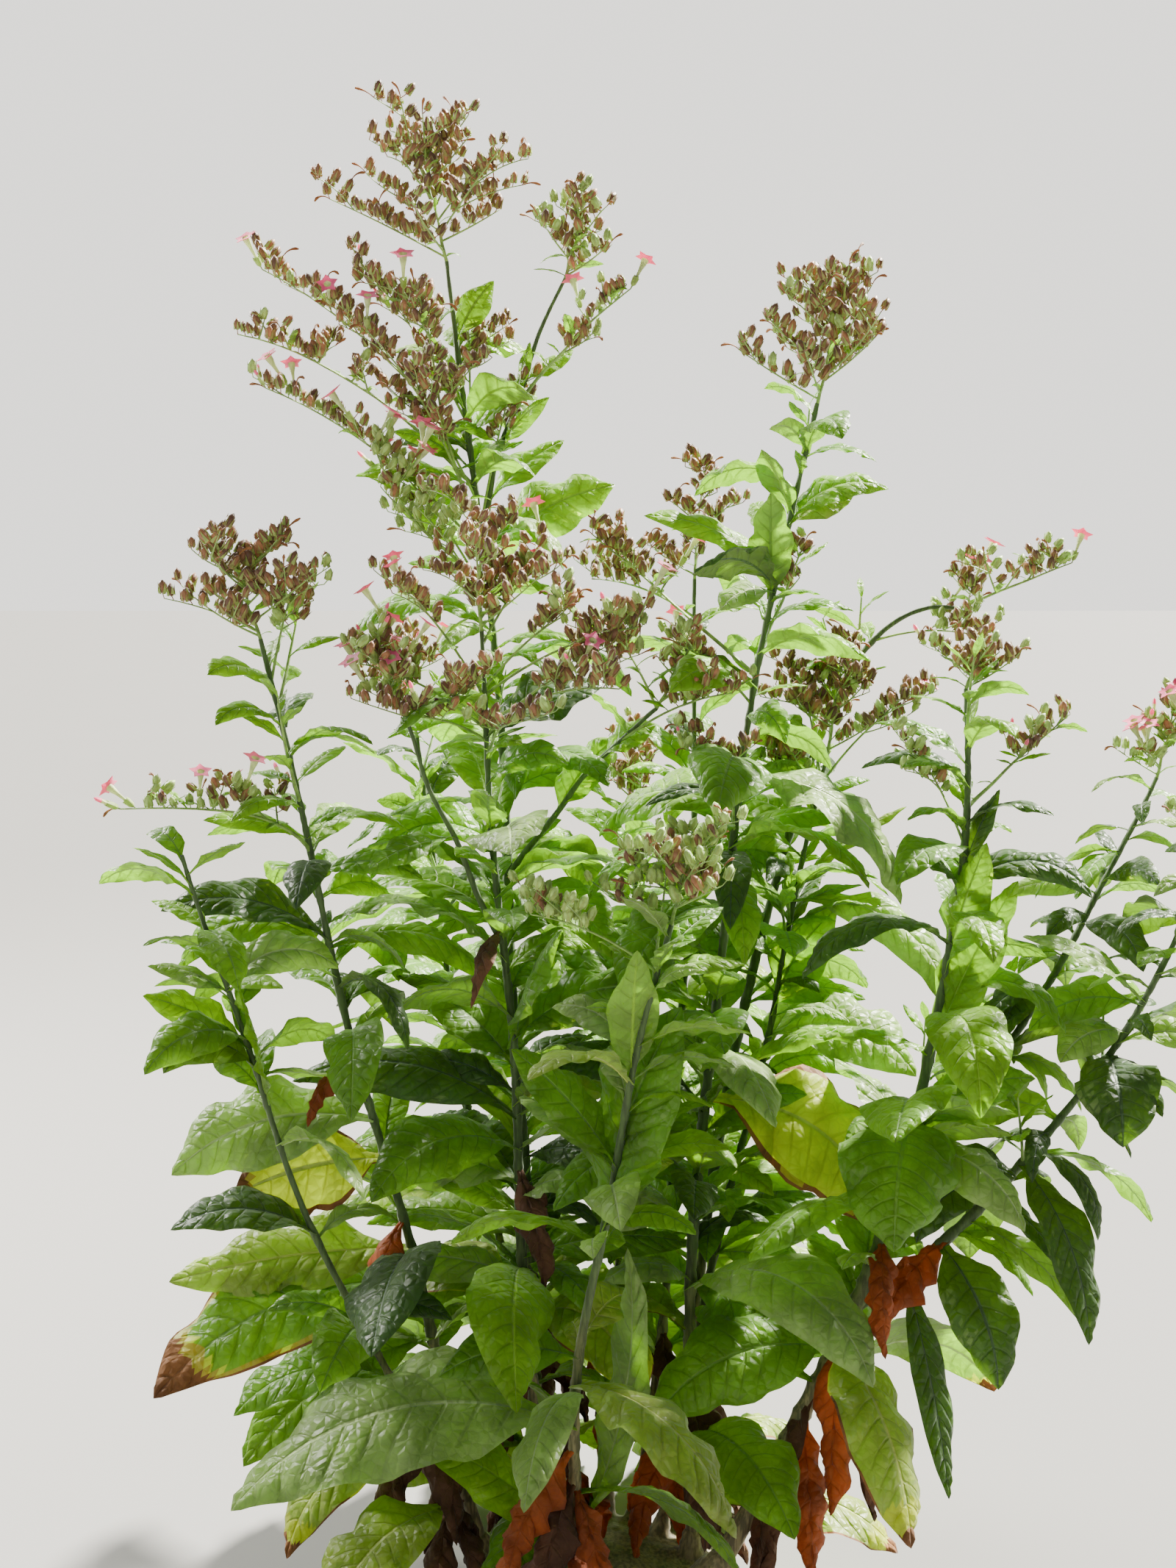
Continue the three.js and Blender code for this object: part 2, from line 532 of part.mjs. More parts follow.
// The leaf is turned, tilted and shortened a little at each try until it has room, or left out.
function placeLeaf(leaf, owner, limb, step) {
  for (let k = 0; k < LEAF_TRIES; k += 1) {
    const way = (k % 2 ? 1 : -1) * Math.ceil((k % 9) / 2);
    const tried = {
      ...leaf,
      heading: leaf.heading + step * way,
      rise: leaf.rise + 0.35 * step * (k % 3 - 1) * Math.min(1, k),
      length: leaf.length * LEAF_SHRINK ** k,
      width: leaf.width * LEAF_SHRINK ** k,
    };
    const [root, blade] = leafNet(leafSections(tried));
    const above = blade.every((p) => p.z > LEAF_ROOM);
    if (above && room.free(root, LEAF_ROOM, [`${owner} root`, owner, limb])
      && room.free(blade, LEAF_ROOM, [`${owner} root`, limb])) {
      room.add(root, LEAF_ROOM, `${owner} root`);
      room.add(blade, LEAF_ROOM, owner);
      return tried;
    }
  }
  return null;
}

const grown = Object.fromEntries(Object.keys(LEAVES).map((name) => [name, []]));

// First the leaves that stand out, then the others, by their places round the stem.
function growShownLeaves() {
  for (const [name, spec] of Object.entries(LEAVES)) {
    for (const [height, heading, length, rise, droop, roll, slim] of spec.shown) {
      const { path } = limbs[spec.limb];
      const leaf = { base: path.point(path.at(height)), heading, length, rise, droop, roll,
        width: length / slim, swing: 8, fold: 10 };
      const placed = placeLeaf(leaf, name, spec.limb, 8);
      if (placed) grown[name].push(placed);
    }
  }
}

function growOtherLeaves() {
  Object.entries(LEAVES).forEach(([name, spec], set) => {
    const { path } = limbs[spec.limb];
    const hang = spec.hang ?? 0;
    for (let i = 0; i < spec.count; i += 1) {
      const dice = new Dice(100 * (set + 1) + i);
      const share = (i + dice.range(0.2, 0.8)) / spec.count;
      const length = mix(...spec.long, share) * dice.range(0.86, 1.12);
      const leaf = {
        base: path.point(path.at(mix(...spec.between, share))),
        heading: spec.start + LEAF_TURN * i + dice.range(-14, 14),
        length,
        width: length / (spec.slim * dice.range(0.9, 1.1)),
        rise: mix(22, 45, share) + dice.range(-12, 14) - hang,
        droop: mix(66, 38, share) + dice.range(-18, 18) + hang,
        roll: dice.range(-42, 42),
        swing: dice.range(-18, 18),
        fold: dice.range(6, 14),
      };
      const placed = placeLeaf(leaf, name, spec.limb, 13);
      if (placed) grown[name].push(placed);
    }
  });
}

// The leaves of one set, with the clasping bases that join them along the limb.
function leavesSolid(name) {
  const spec = LEAVES[name];
  const limb = limbs[spec.limb];
  const heights = grown[name].map((leaf) => leaf.base.z);
  const sleeve = sleeveOn(limb, Math.min(...heights) - 12, Math.max(...heights) + 12, CLEAR + SLEEVE);
  let body = joined([sleeve, ...grown[name].map(leafSolid)]);
  body = body.subtract(wholeLimb(limb, CLEAR, CLEAR));
  for (const child of Object.values(limbs)) {
    if (child.parent === spec.limb) body = body.subtract(wholeLimb(child, CLEAR));
  }
  return largest(body);
}

// Panicles

// A fruit's outline, as shares of its length and of its half width: a slim stalk, the calyx at its
// widest, and the capsule's point. A flower's: a long tube that opens into a flat limb.
const FRUIT_OUTLINE = [[0.58, 1], [1, 0]];
const FLOWER_OUTLINE = [[0.84, 0.36], [1, 1], [0.93, 0]];

// The fruit or flower that stands on the twig's end or side, as rings round its direction.
function headRings(base, direction, towards, flower) {
  const { long, wide } = flower ? FLOWER : CAPSULE;
  return (flower ? FLOWER_OUTLINE : FRUIT_OUTLINE).map(([share, width]) => {
    const centre = base.clone().addScaledVector(direction, share * long);
    return width ? ring(centre, direction, 0.5 * width * wide, 3, towards) : [centre];
  });
}

// A twig, from its root in the axis to the fruit or flower at its end.
function twigSolid(frames, direction, flower) {
  const end = frames[LEAF_STEPS];
  const rings = [0, LEAF_STEPS / 2, LEAF_STEPS].map((k) => (
    ring(frames[k].point, frames[k].along, mix(TWIG.foot, TWIG.tip, k / LEAF_STEPS), 3, frames[k].side)));
  return solid(loft([...rings, ...headRings(end.point, direction, end.side, flower)]));
}

// A fruit on the side of a twig, with its stalk's foot sunk in it.
function sideSolid(frame, direction, flower) {
  const foot = ring(frame.point, direction, TWIG.tip, 3, frame.side);
  return solid(loft([foot, ...headRings(frame.point, direction, frame.side, flower)]));
}

// Twigs stand round the axis, shorter towards its tip. Each holds fruit or flowers, on alternate
// sides and leaning up, where there is room for them.
function paniclePieces(name, index) {
  const spec = PANICLES[name];
  const limb = limbs[name];
  const pieces = [];
  for (let i = 0; i < spec.twigs; i += 1) {
    const dice = new Dice(9000 + 100 * index + i);
    const share = spec.twigs > 1 ? i / (spec.twigs - 1) : 0;
    const frames = arc({
      base: limb.path.point(mix(spec.bare, 0.86, share)),
      heading: spec.start + LEAF_TURN * i + dice.range(-12, 12),
      rise: spec.rise + 22 * share + dice.range(-8, 8),
      droop: -spec.rise - 8 - 20 * share + dice.range(-12, 12),
      length: spec.reach * mix(1, 0.6, share) * dice.range(0.88, 1.08),
      swing: dice.range(-25, 25),
    });
    const line = frames.filter((_, k) => k > 3).map((frame) => frame.point);
    if (!room.free(line, TWIG.room, [name, spec.parent])) continue;
    room.add(line, TWIG.room, name);
    const length = frames[0].point.distanceTo(frames[LEAF_STEPS].point);
    const count = Math.max(1, Math.round(length / CAPSULE.gap));
    for (let c = count; c > 0; c -= 1) {
      const frame = frames[Math.round((LEAF_STEPS * c) / count)];
      const direction = frame.over.clone().multiplyScalar(0.8);
      direction.addScaledVector(frame.along, c === count ? 0.9 : 0.45);
      direction.addScaledVector(frame.side, (c + i) % 2 ? 0.5 : -0.5).normalize();
      const flower = dice.next() < spec.bloom;
      const head = [0.5, 0.95].map((part) => (
        frame.point.clone().addScaledVector(direction, part * (flower ? FLOWER.long : CAPSULE.long))));
      if (c < count && !room.free(head, TWIG.room, [name])) continue;
      room.add(head, TWIG.room, name);
      pieces.push(c === count ? twigSolid(frames, direction, flower) : sideSolid(frame, direction, flower));
    }
  }
  return pieces;
}

// The plant

const plant = new THREE.Group();

function addNode(name, body, colour) {
  const mesh = body.getMesh();
  const geometry = new THREE.BufferGeometry();
  geometry.setAttribute('position', new THREE.Float32BufferAttribute(mesh.vertProperties, 3));
  geometry.setIndex(Array.from(mesh.triVerts));
  geometry.computeVertexNormals();
  const material = new THREE.MeshStandardMaterial({ color: colour, roughness: 0.7, metalness: 0 });
  material.flatShading = true;
  const node = new THREE.Mesh(geometry, material);
  node.name = name;
  plant.add(node);
}

addNode('root_crown', crownSolid(), COLOURS.wood);
for (const name of Object.keys(STEMS)) addNode(`${name}_stem`, limbSolid(limbs[name]), COLOURS.stem);
for (const name of Object.keys(BOUGHS)) addNode(name, limbSolid(limbs[name]), COLOURS.stem);

Object.keys(PANICLES).forEach((name, index) => {
  const limb = limbs[name];
  const body = joined([wholeLimb(limb), ...paniclePieces(name, index)]);
  addNode(name, largest(body.subtract(wholeLimb(limbs[limb.parent], CLEAR, CLEAR))), COLOURS.panicle);
});

growShownLeaves();
growOtherLeaves();
for (const name of Object.keys(LEAVES)) addNode(name, leavesSolid(name), COLOURS.leaf);

export default plant;
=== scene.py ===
import math

import bpy
import numpy as np
from bpy.props import FloatProperty, FloatVectorProperty, PointerProperty
from bpy.types import Operator, Panel, PropertyGroup
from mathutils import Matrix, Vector


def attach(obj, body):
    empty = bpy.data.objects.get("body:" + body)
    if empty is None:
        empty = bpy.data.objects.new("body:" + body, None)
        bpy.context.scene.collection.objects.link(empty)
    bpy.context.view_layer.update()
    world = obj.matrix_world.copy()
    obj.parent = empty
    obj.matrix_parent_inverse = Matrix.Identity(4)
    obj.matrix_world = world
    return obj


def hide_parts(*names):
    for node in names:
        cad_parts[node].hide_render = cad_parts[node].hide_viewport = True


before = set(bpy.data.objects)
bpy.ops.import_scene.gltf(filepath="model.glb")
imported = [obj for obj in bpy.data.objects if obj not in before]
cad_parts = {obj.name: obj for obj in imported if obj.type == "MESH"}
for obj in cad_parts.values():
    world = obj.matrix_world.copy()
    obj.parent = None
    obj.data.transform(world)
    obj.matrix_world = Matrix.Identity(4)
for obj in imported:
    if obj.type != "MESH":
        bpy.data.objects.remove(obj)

# A flowering tobacco plant, grown round its frame. The growth rule works in millimetres, with its
# angles in degrees: a heading of 0 points to +X, 90 to the back and 270 to the front. The meshes
# are in metres.

bl_info = {
    "name": "Tobacco plant",
    "version": (1, 0, 0),
    "blender": (4, 5, 0),
    "location": "3D View > Sidebar > Tobacco plant",
    "description": "Grows the stems, leaves, capsules and flowers of a tobacco plant",
    "category": "Object",
}

MM = 0.001

# Sizes of the growth rule, the same as in the plant's solids
FOOT_HEIGHT = 14
CROWN = {"wide": 205, "deep": 158, "high": 60, "lobes": 5, "lobe": 0.07}
CROWN_NET = [(0.05, 0.99), (0.35, 0.95), (0.55, 0.82), (0.75, 0.7), (0.87, 0.5), (1, 0.3), (1, 0.1)]
CROWN_ROOM = {"sunk": 9, "radius": 13, "points": 40}
SWAY = {"stem": 7, "bough": 4, "axis": 2}
SWAY_PHASE = 1.7
AXIS_ON_TIP = (2.9, 1.6)
AXIS_ON_SIDE = (3.4, 1.6)
LEAF_TURN = 137.5
LEAF_STEPS = 24
LONG_LEAF = 170
LONG_SECTIONS = (0, 3, 9, 16, 24)
SHORT_SECTIONS = (0, 3, 13, 24)
PETIOLE = 0.11
WING = 0.13
CAPSULE = {"long": 34, "gap": 108}
FLOWER = {"long": 47}
TWIG_ROOM = 7
LEAF_NET = 12
LIMB_ROOM = 2.5
LIMB_NET = 9
LEAF_SHRINK = 0.962

# Each stem: foot, a point that it passes half way, tip, and radius at foot and tip
STEMS = {
    "tall": ((-97, 55), (-128, 118, 1000), (-220, 155, 1965), (11, 3.2)),
    "middle": ((-70, -22), (-124, -3, 750), (-162, -50, 1440), (10, 3.2)),
    "left": ((-162, -12), (-300, -42, 640), (-466, -70, 1430), (10.5, 3.2)),
    "far_left": ((-138, -72), (-392, -130, 600), (-562, -170, 1145), (7.5, 2.6)),
    "front": ((-30, -118), (-12, -195, 520), (96, -245, 1065), (10, 3.2)),
    "right_centre": ((146, -6), (170, 30, 900), (309, 30, 1755), (10.5, 3.2)),
    "right": ((145, -84), (447, -47, 690), (523, 0, 1355), (16, 3.4)),
    "rear": ((58, 96), (132, 245, 700), (153, 310, 1500), (9, 3)),
    "inner_right": ((86, 34), (225, 150, 640), (350, 180, 1240), (8.5, 3)),
    "far_arch": ((118, 84), (300, 235, 1130), (560, 272, 1455), (9.5, 3)),
    "back_left": ((-52, 104), (-200, 335, 600), (-300, 480, 1230), (9, 3)),
    "back_centre": ((8, 112), (50, 370, 560), (70, 560, 1090), (8.5, 3)),
}

# Each bough: the stem that it leaves, at which height, its knee, tip and radius
BOUGHS = {
    "upper_bough": ("tall", 1560, (-125, 168, 1755), (-48, 190, 1945), (5, 2.8)),
    "middle_bough": ("middle", 985, (-212, -52, 1165), (-268, -74, 1325), (5, 2.8)),
    "diagonal_bough": ("tall", 1060, (-22, 66, 1215), (84, 20, 1325), (5.5, 2.8)),
    "low_arch": ("right", 455, (690, -2, 738), (900, 28, 1125), (9, 3)),
    "outer_arch": ("right", 575, (676, 128, 882), (848, 165, 1205), (8, 3)),
}

# Each panicle: its limb, the height at which it leaves it, or None at its tip, its knee and tip,
# the bare share of its axis, the reach, number, first heading and rise of its twigs, the share of
# flowers among its fruit, and how ripe the fruit is
PANICLES = {
    "top_panicle": ("tall", None, (-238, 155, 2045), (-252, 150, 2125), 0.04, 178, 5, 178, 28, 0, 1),
    "second_panicle": ("tall", 1575, (-218, 100, 1715), (-246, 48, 1910), 0.5, 108, 4, 190, 30, 0, 1),
    "upper_panicle": ("upper_bough", None, (-36, 192, 1990), (-22, 192, 2040), 0.05,
                      92, 3, 350, 35, 0, 0.6),
    "fork_panicle": ("upper_bough", 1752, (-48, 158, 1842), (48, 138, 1925), 0.45,
                     55, 2, 10, 30, 0.1, 0.6),
    "upper_left_panicle": ("tall", 1640, (-352, 130, 1788), (-520, 116, 1858), 0.45,
                           66, 3, 255, 40, 0, 0.9),
    "young_panicle": ("tall", 1500, (-268, 72, 1598), (-316, 34, 1700), 0.5, 60, 3, 200, 35, 0.7, 0.5),
    "middle_panicle": ("middle", None, (-165, -54, 1520), (-158, -58, 1592), 0.04,
                       142, 5, 350, 30, 0, 0.95),
    "middle_bough_panicle": ("middle_bough", None, (-288, -82, 1378), (-304, -88, 1432), 0.1,
                             70, 3, 170, 35, 0.15, 0.6),
    "diagonal_panicle": ("diagonal_bough", None, (108, 12, 1370), (132, 6, 1420), 0.1,
                         58, 2, 340, 35, 0.1, 0.7),
    "left_panicle": ("left", None, (-482, -72, 1482), (-494, -72, 1536), 0.04,
                     135, 5, 185, 20, 0, 0.95),
    "left_low_panicle": ("left", 1128, (-478, -92, 1186), (-655, -118, 1200), 0.35,
                         62, 4, 100, 45, 0.45, 0.5),
    "front_panicle": ("front", None, (106, -248, 1112), (116, -250, 1160), 0.04,
                      118, 5, 175, 22, 0, 0.4),
    "centre_panicle": ("right_centre", None, (326, 30, 1830), (345, 30, 1896), 0.04,
                       145, 5, 185, 28, 0, 0.75),
    "thin_panicle": ("right_centre", 1370, (90, 52, 1490), (-8, 74, 1572), 0.5,
                     66, 3, 60, 35, 0.1, 0.9),
    "centre_side_panicle": ("right_centre", 1405, (264, 42, 1480), (298, 48, 1565), 0.55,
                            34, 2, 330, 35, 0.2, 0.9),
    "rear_panicle": ("rear", None, (160, 314, 1585), (166, 318, 1668), 0.04, 82, 3, 200, 30, 0, 0.95),
    "inner_panicle": ("inner_right", None, (360, 184, 1312), (368, 188, 1376), 0.04,
                      102, 4, 10, 28, 0, 0.8),
    "far_panicle": ("far_arch", None, (650, 278, 1492), (738, 284, 1526), 0.08,
                    76, 4, 80, 40, 0.35, 0.6),
    "right_panicle": ("right", None, (534, 0, 1384), (545, 2, 1412), 0.04, 84, 4, 5, 18, 0.05, 0.75),
    "right_side_panicle": ("right", 1185, (592, 32, 1236), (690, 70, 1312), 0.55,
                           52, 2, 40, 35, 0.3, 0.6),
    "low_arch_panicle": ("low_arch", None, (928, 32, 1178), (948, 36, 1232), 0.04,
                         88, 3, 150, 30, 0.3, 0.3),
    "outer_arch_panicle": ("outer_arch", None, (862, 168, 1262), (872, 170, 1312), 0.04,
                           80, 3, 170, 30, 0.45, 0.3),
    "back_left_panicle": ("back_left", None, (-312, 496, 1300), (-318, 502, 1366), 0.04,
                          112, 4, 30, 28, 0.1, 0.7),
    "back_centre_panicle": ("back_centre", None, (74, 578, 1160), (75, 584, 1224), 0.04,
                            104, 4, 70, 28, 0.1, 0.7),
}

# Each set of leaves: its limb, the heights between which it stands, the number of leaves, their
# length at the low and high end, slimness, first heading and extra hang, and then the leaves that
# stand out, as height, heading, length, rise, droop, roll, slimness and look
LEAVES = {
    "tall_low_leaves": ("tall", (100, 820), 11, (400, 350), 2.3, 100, 0, [
        (560, 118, 330, 40, 25, 0, 2.6, "deep")]),
    "tall_high_leaves": ("tall", (900, 1830), 17, (340, 165), 2.5, 20, 0, [
        (1100, 350, 130, 50, 0, -30, 1.8, "lime"),
        (1290, 200, 190, 25, 40, 20, 3.2, "green"),
        (1400, 330, 150, 35, 30, -20, 3.4, "lime"),
        (1545, 5, 225, 42, -8, -45, 2, "lime"),
        (1585, 325, 190, 25, 86, 0, 2.2, "silver"),
        (1570, 350, 160, 78, -72, -50, 2.8, "green"),
        (1670, 10, 90, 60, 0, -20, 1.6, "silver"),
        (1510, 190, 140, 25, 10, 30, 2.4, "green"),
        (1640, 195, 185, 25, 20, 30, 2.9, "lime"),
        (1665, 182, 165, 42, 0, 40, 2.6, "green"),
        (1712, 0, 115, 60, -35, -50, 2.2, "lime"),
        (1850, 20, 110, 70, -40, -50, 2, "lime")]),
    "middle_leaves": ("middle", (70, 1330), 16, (410, 215), 2.3, 305, 0, [
        (480, 184, 312, 22, 20, 30, 2.8, "silver"),
        (625, 182, 290, 30, 24, 50, 2.2, "silver"),
        (725, 186, 415, 40, 28, 25, 2.9, "deep"),
        (575, 186, 190, 38, -14, 30, 3, "lime"),
        (590, 335, 150, 60, 40, -20, 1.7, "silver"),
        (830, 310, 220, 80, -40, -40, 1.6, "green"),
        (800, 150, 200, 50, -10, 20, 1.9, "green"),
        (960, 184, 290, 55, 35, 10, 3.2, "silver"),
        (1290, 10, 190, 45, 5, -30, 1.7, "deep"),
        (1010, 245, 150, -10, 80, 0, 3, "brown")]),
    "left_low_leaves": ("left", (80, 800), 7, (400, 340), 2.3, 60, 0, [
        (262, 201, 330, 8, 80, 20, 2.8, "fading"),
        (488, 200, 425, 10, 46, 30, 2.7, "scorched"),
        (540, 187, 350, 2, 12, 50, 2.9, "pale"),
        (680, 196, 222, 4, 22, 60, 1.55, "rimmed"),
        (738, 190, 335, 12, 46, 40, 2.1, "silver"),
        (400, 203, 330, -5, 50, 30, 2.8, "lime")]),
    "left_high_leaves": ("left", (830, 1380), 11, (300, 135), 2.5, 300, 0, [
        (1005, 187, 250, 42, 24, 30, 2.7, "deep"),
        (1150, 188, 150, 30, 10, 30, 3, "lime")]),
    "far_left_leaves": ("far_left", (120, 1110), 11, (310, 140), 2.4, 225, 0, [
        (790, 225, 180, 84, -66, 30, 2.1, "lime"),
        (870, 188, 165, 44, -14, 30, 2.4, "lime"),
        (950, 188, 120, 40, 0, 20, 2.4, "silver"),
        (1040, 300, 140, 10, 80, 0, 2, "green")]),
    "front_leaves": ("front", (60, 1010), 10, (350, 150), 2.4, 200, 0, [
        (125, 188, 305, 55, -22, 25, 2.6, "lime"),
        (335, 190, 520, 26, 49, 25, 2.3, "silver"),
        (140, 345, 460, 66, -98, -50, 5, "silver"),
        (400, 318, 340, 14, 76, 15, 2, "pale"),
        (600, 342, 370, 84, -58, -60, 2.4, "green"),
        (725, 168, 215, 58, -35, 30, 2.3, "green"),
        (850, 275, 190, 84, -72, 0, 2.6, "lime"),
        (440, 186, 205, 22, 35, 35, 2.2, "green")]),
    "centre_low_leaves": ("right_centre", (80, 900), 12, (400, 340), 2.3, 350, 0, [
        (745, 348, 360, 4, 88, -55, 1.9, "rimmed"),
        (470, 200, 160, 45, 40, 0, 1.6, "silver")]),
    "centre_high_leaves": ("right_centre", (960, 1720), 13, (330, 140), 2.5, 80, 0, [
        (1225, 335, 330, 6, 86, -10, 1.9, "silver"),
        (1480, 268, 195, 76, -54, 0, 2.5, "green"),
        (1520, 184, 215, 42, 2, 30, 3.2, "lime"),
        (1585, 5, 110, 42, -5, -30, 1.7, "pale"),
        (1680, 350, 110, 30, 45, -20, 2.6, "green"),
        (1600, 215, 110, 70, -40, 10, 1.6, "lime"),
        (1490, 200, 95, 20, 60, 20, 1.4, "silver"),
        (1300, 330, 125, 82, -70, -50, 2.6, "silver"),
        (1130, 350, 170, 45, 30, -20, 2, "lime")]),
    "rear_leaves": ("rear", (80, 1400), 10, (380, 170), 2.4, 60, 0, []),
    "inner_leaves": ("inner_right", (120, 1180), 10, (340, 190), 2.4, 330, 0, [
        (800, 345, 260, 28, 62, -35, 1.9, "silver"),
        (1015, 345, 330, 8, 88, -40, 3.6, "silver"),
        (1035, 352, 210, 50, -22, -20, 3.6, "pale"),
        (835, 340, 200, 78, -40, -55, 1.7, "lime"),
        (470, 340, 190, 15, 60, -30, 1.9, "silver")]),
    "far_arch_leaves": ("far_arch", (100, 1400), 10, (350, 170), 2.5, 45, 0, []),
    "right_low_leaves": ("right", (300, 780), 8, (360, 320), 2.2, 20, 0, [
        (405, 287, 330, -6, 86, 20, 2.1, "fading"),
        (560, 262, 190, -15, 84, 0, 2.4, "orange"),
        (735, 250, 265, 12, 84, 15, 1.45, "green"),
        (700, 322, 220, 10, 72, -20, 2, "silver")]),
    "right_high_leaves": ("right", (810, 1300), 10, (310, 140), 2.4, 140, 0, [
        (825, 350, 290, 72, -58, -60, 3.4, "lime"),
        (950, 335, 200, 80, -68, -60, 2.2, "lime"),
        (1070, 195, 130, 60, 0, 25, 1.9, "deep"),
        (1090, 345, 135, 75, -60, -40, 2.8, "deep")]),
    "low_arch_leaves": ("low_arch", (495, 1080), 11, (270, 150), 2.5, 300, 22, [
        (505, 290, 320, -55, 80, 10, 5, "deep"),
        (545, 292, 235, -15, 88, 0, 2.1, "deep"),
        (555, 200, 205, -20, 60, 30, 2.1, "orange"),
        (580, 320, 230, -8, 62, -20, 4, "silver"),
        (560, 10, 135, 10, 60, 0, 1.7, "lime"),
        (660, 285, 300, -10, 89, 0, 3.6, "deep"),
        (815, 262, 185, 8, 89, 0, 1.5, "deep"),
        (850, 200, 130, 20, 60, 25, 1.7, "silver"),
        (895, 190, 230, 48, -5, 30, 3.4, "silver")]),
    "outer_arch_leaves": ("outer_arch", (640, 1160), 11, (255, 150), 2.5, 60, 22, [
        (790, 350, 165, 8, 84, -20, 2.8, "silver"),
        (885, 215, 125, 18, 88, 10, 1.7, "deep")]),
    "back_left_leaves": ("back_left", (80, 1180), 10, (410, 165), 2.4, 130, 0, []),
    "back_centre_leaves": ("back_centre", (80, 1040), 9, (410, 180), 2.4, 84, 0, []),
}

# How a leaf of each kind looks for its place: the degrees that it turns at each try, the number of
# tries and the room that it needs
TRIES = {
    "shown": (5, 12, 2.2),
    "rule": (13, 14, 9.4),
    "filling": (17, 10, 2.5),
    "shoot": (21, 5, 3),
    "more": (9, 12, 2.5),
    "foot": (23, 12, 2.5),
    "bract": (25, 6, 2),
}

# The first seed of each kind of part, and the step to the seeds of the next limb, set or panicle
SEEDS = {
    "twig": (9000, 100), "rule": (100, 100), "filling": (40000, 200), "shoot": (70000, 200),
    "foot": (60000, 20), "fine_twig": (30000, 50), "bract": (90000, 50), "branch": (26000, 1),
    "axis": (19000, 1), "fruit": (20000, 100), "blade": (5000, 300), "bract_blade": (15000, 60),
}

# The camera's place, and how many blocks of points can keep their room free
EYE = (-14, -2750, 1600)
MOST_BLOCKS = 6000

# The smaller leaves and side shoots that fill the crown, the space that stays free before a leaf
# that stands out, and the twigs and bracts of the panicles
FILLING = {"gap": 21, "ends": (60, 40), "longest": 310, "high": 1180, "short": 150}
IN_VIEW = {"steps": 6, "step": 0.024, "room": 16}
SHOOT = {"gap": 90, "lowest": 420, "long": (80, 200), "room": 3, "radius": (3, 1.3),
         "leaf_gap": 24, "leaves": (105, 42)}
BRACT = {"long": (26, 70), "on_axis": (0.12, 0.34, 0.56, 0.78), "on_twig": ((0, 0.8), (9, 0.55)),
         "on_branch": (2, 5, 8, 11, 14, 18)}
TWIG = {"radius": (1.75, 0.8), "bare": 0.16, "bare_axis": 0.62, "sides": 5}
FINE_TWIG = {"gap": 17, "room": 4}
SIDE_TWIG = {"least": 45, "places": (0.3, 0.55, 0.8), "chance": 0.5, "long": (0.35, 0.6),
             "radius": (1.2, 0.7)}
ARCHED = ("low_arch", "outer_arch")

# Long fruiting branches: the limb and height that each leaves, its tip, the share of flowers and
# how ripe the fruit is
BRANCHES = [
    ("tall", 1735, (-340, 110, 1953), 0.2, 1),
    ("tall", 1545, (-472, 60, 1778), 0.6, 0.75),
    ("tall", 1580, (-126, 150, 1784), 0, 1),
    ("tall", 1690, (-485, 130, 1951), 0.3, 0.8),
    ("tall", 1750, (-276, 80, 1914), 0.3, 1),
    ("tall", 1620, (-325, 40, 1856), 0.4, 0.9),
    ("tall", 1680, (-191, 190, 1892), 0, 0.95),
    ("tall", 1560, (-265, 45, 1784), 0.05, 0.95),
    ("tall", 1445, (-256, 40, 1609), 0.3, 0.1),
    ("tall", 1470, (-310, 70, 1688), 0.25, 0.3),
    ("middle", 1345, (-275, -90, 1507), 0.1, 0.9),
    ("middle", 1400, (-167, -40, 1495), 0.1, 0.9),
    ("middle", 1420, (-91, 0, 1524), 0.15, 0.8),
    ("middle", 1360, (-39, -70, 1466), 0.1, 0.7),
    ("middle", 1300, (-325, -110, 1399), 0.15, 0.6),
    ("middle", 1285, (-267, -140, 1328), 0.1, 0.8),
    ("middle", 1330, (-201, -130, 1357), 0, 1),
    ("middle", 1290, (-14, -110, 1400), 0.1, 0.8),
    ("middle", 1350, (60, -70, 1447), 0.1, 0.7),
    ("middle", 1310, (28, -150, 1368), 0.1, 0.8),
    ("middle", 1265, (-120, -170, 1322), 0.1, 0.8),
    ("diagonal_bough", 1270, (188, -40, 1352), 0.15, 0.7),
    ("diagonal_bough", 1325, (20, -20, 1438), 0.1, 0.8),
    ("rear", 1440, (-8, 220, 1503), 0.05, 0.9),
    ("right_centre", 1330, (116, -10, 1417), 0.1, 0.6),
    ("right_centre", 1180, (167, -50, 1272), 0.15, 0.6),
    ("inner_right", 1150, (289, 100, 1250), 0.1, 0.6),
    ("inner_right", 1190, (448, 90, 1324), 0.05, 0.7),
    ("right", 1130, (460, -10, 1256), 0.1, 0.4),
    ("far_arch", 1405, (587, 250, 1415), 0.2, 0.6),
    ("inner_right", 1200, (309, 190, 1352), 0, 0.9),
    ("front", 1000, (-89, -250, 1080), 0, 0.25),
    ("left", 1370, (-425, -60, 1488), 0.05, 0.7),
]
BRANCH = {"arch": 0.15, "room": 3, "bare": 0.52, "radius": (2.3, 1),
          "places": (0.56, 0.66, 0.78, 0.9), "long": (48, 92)}

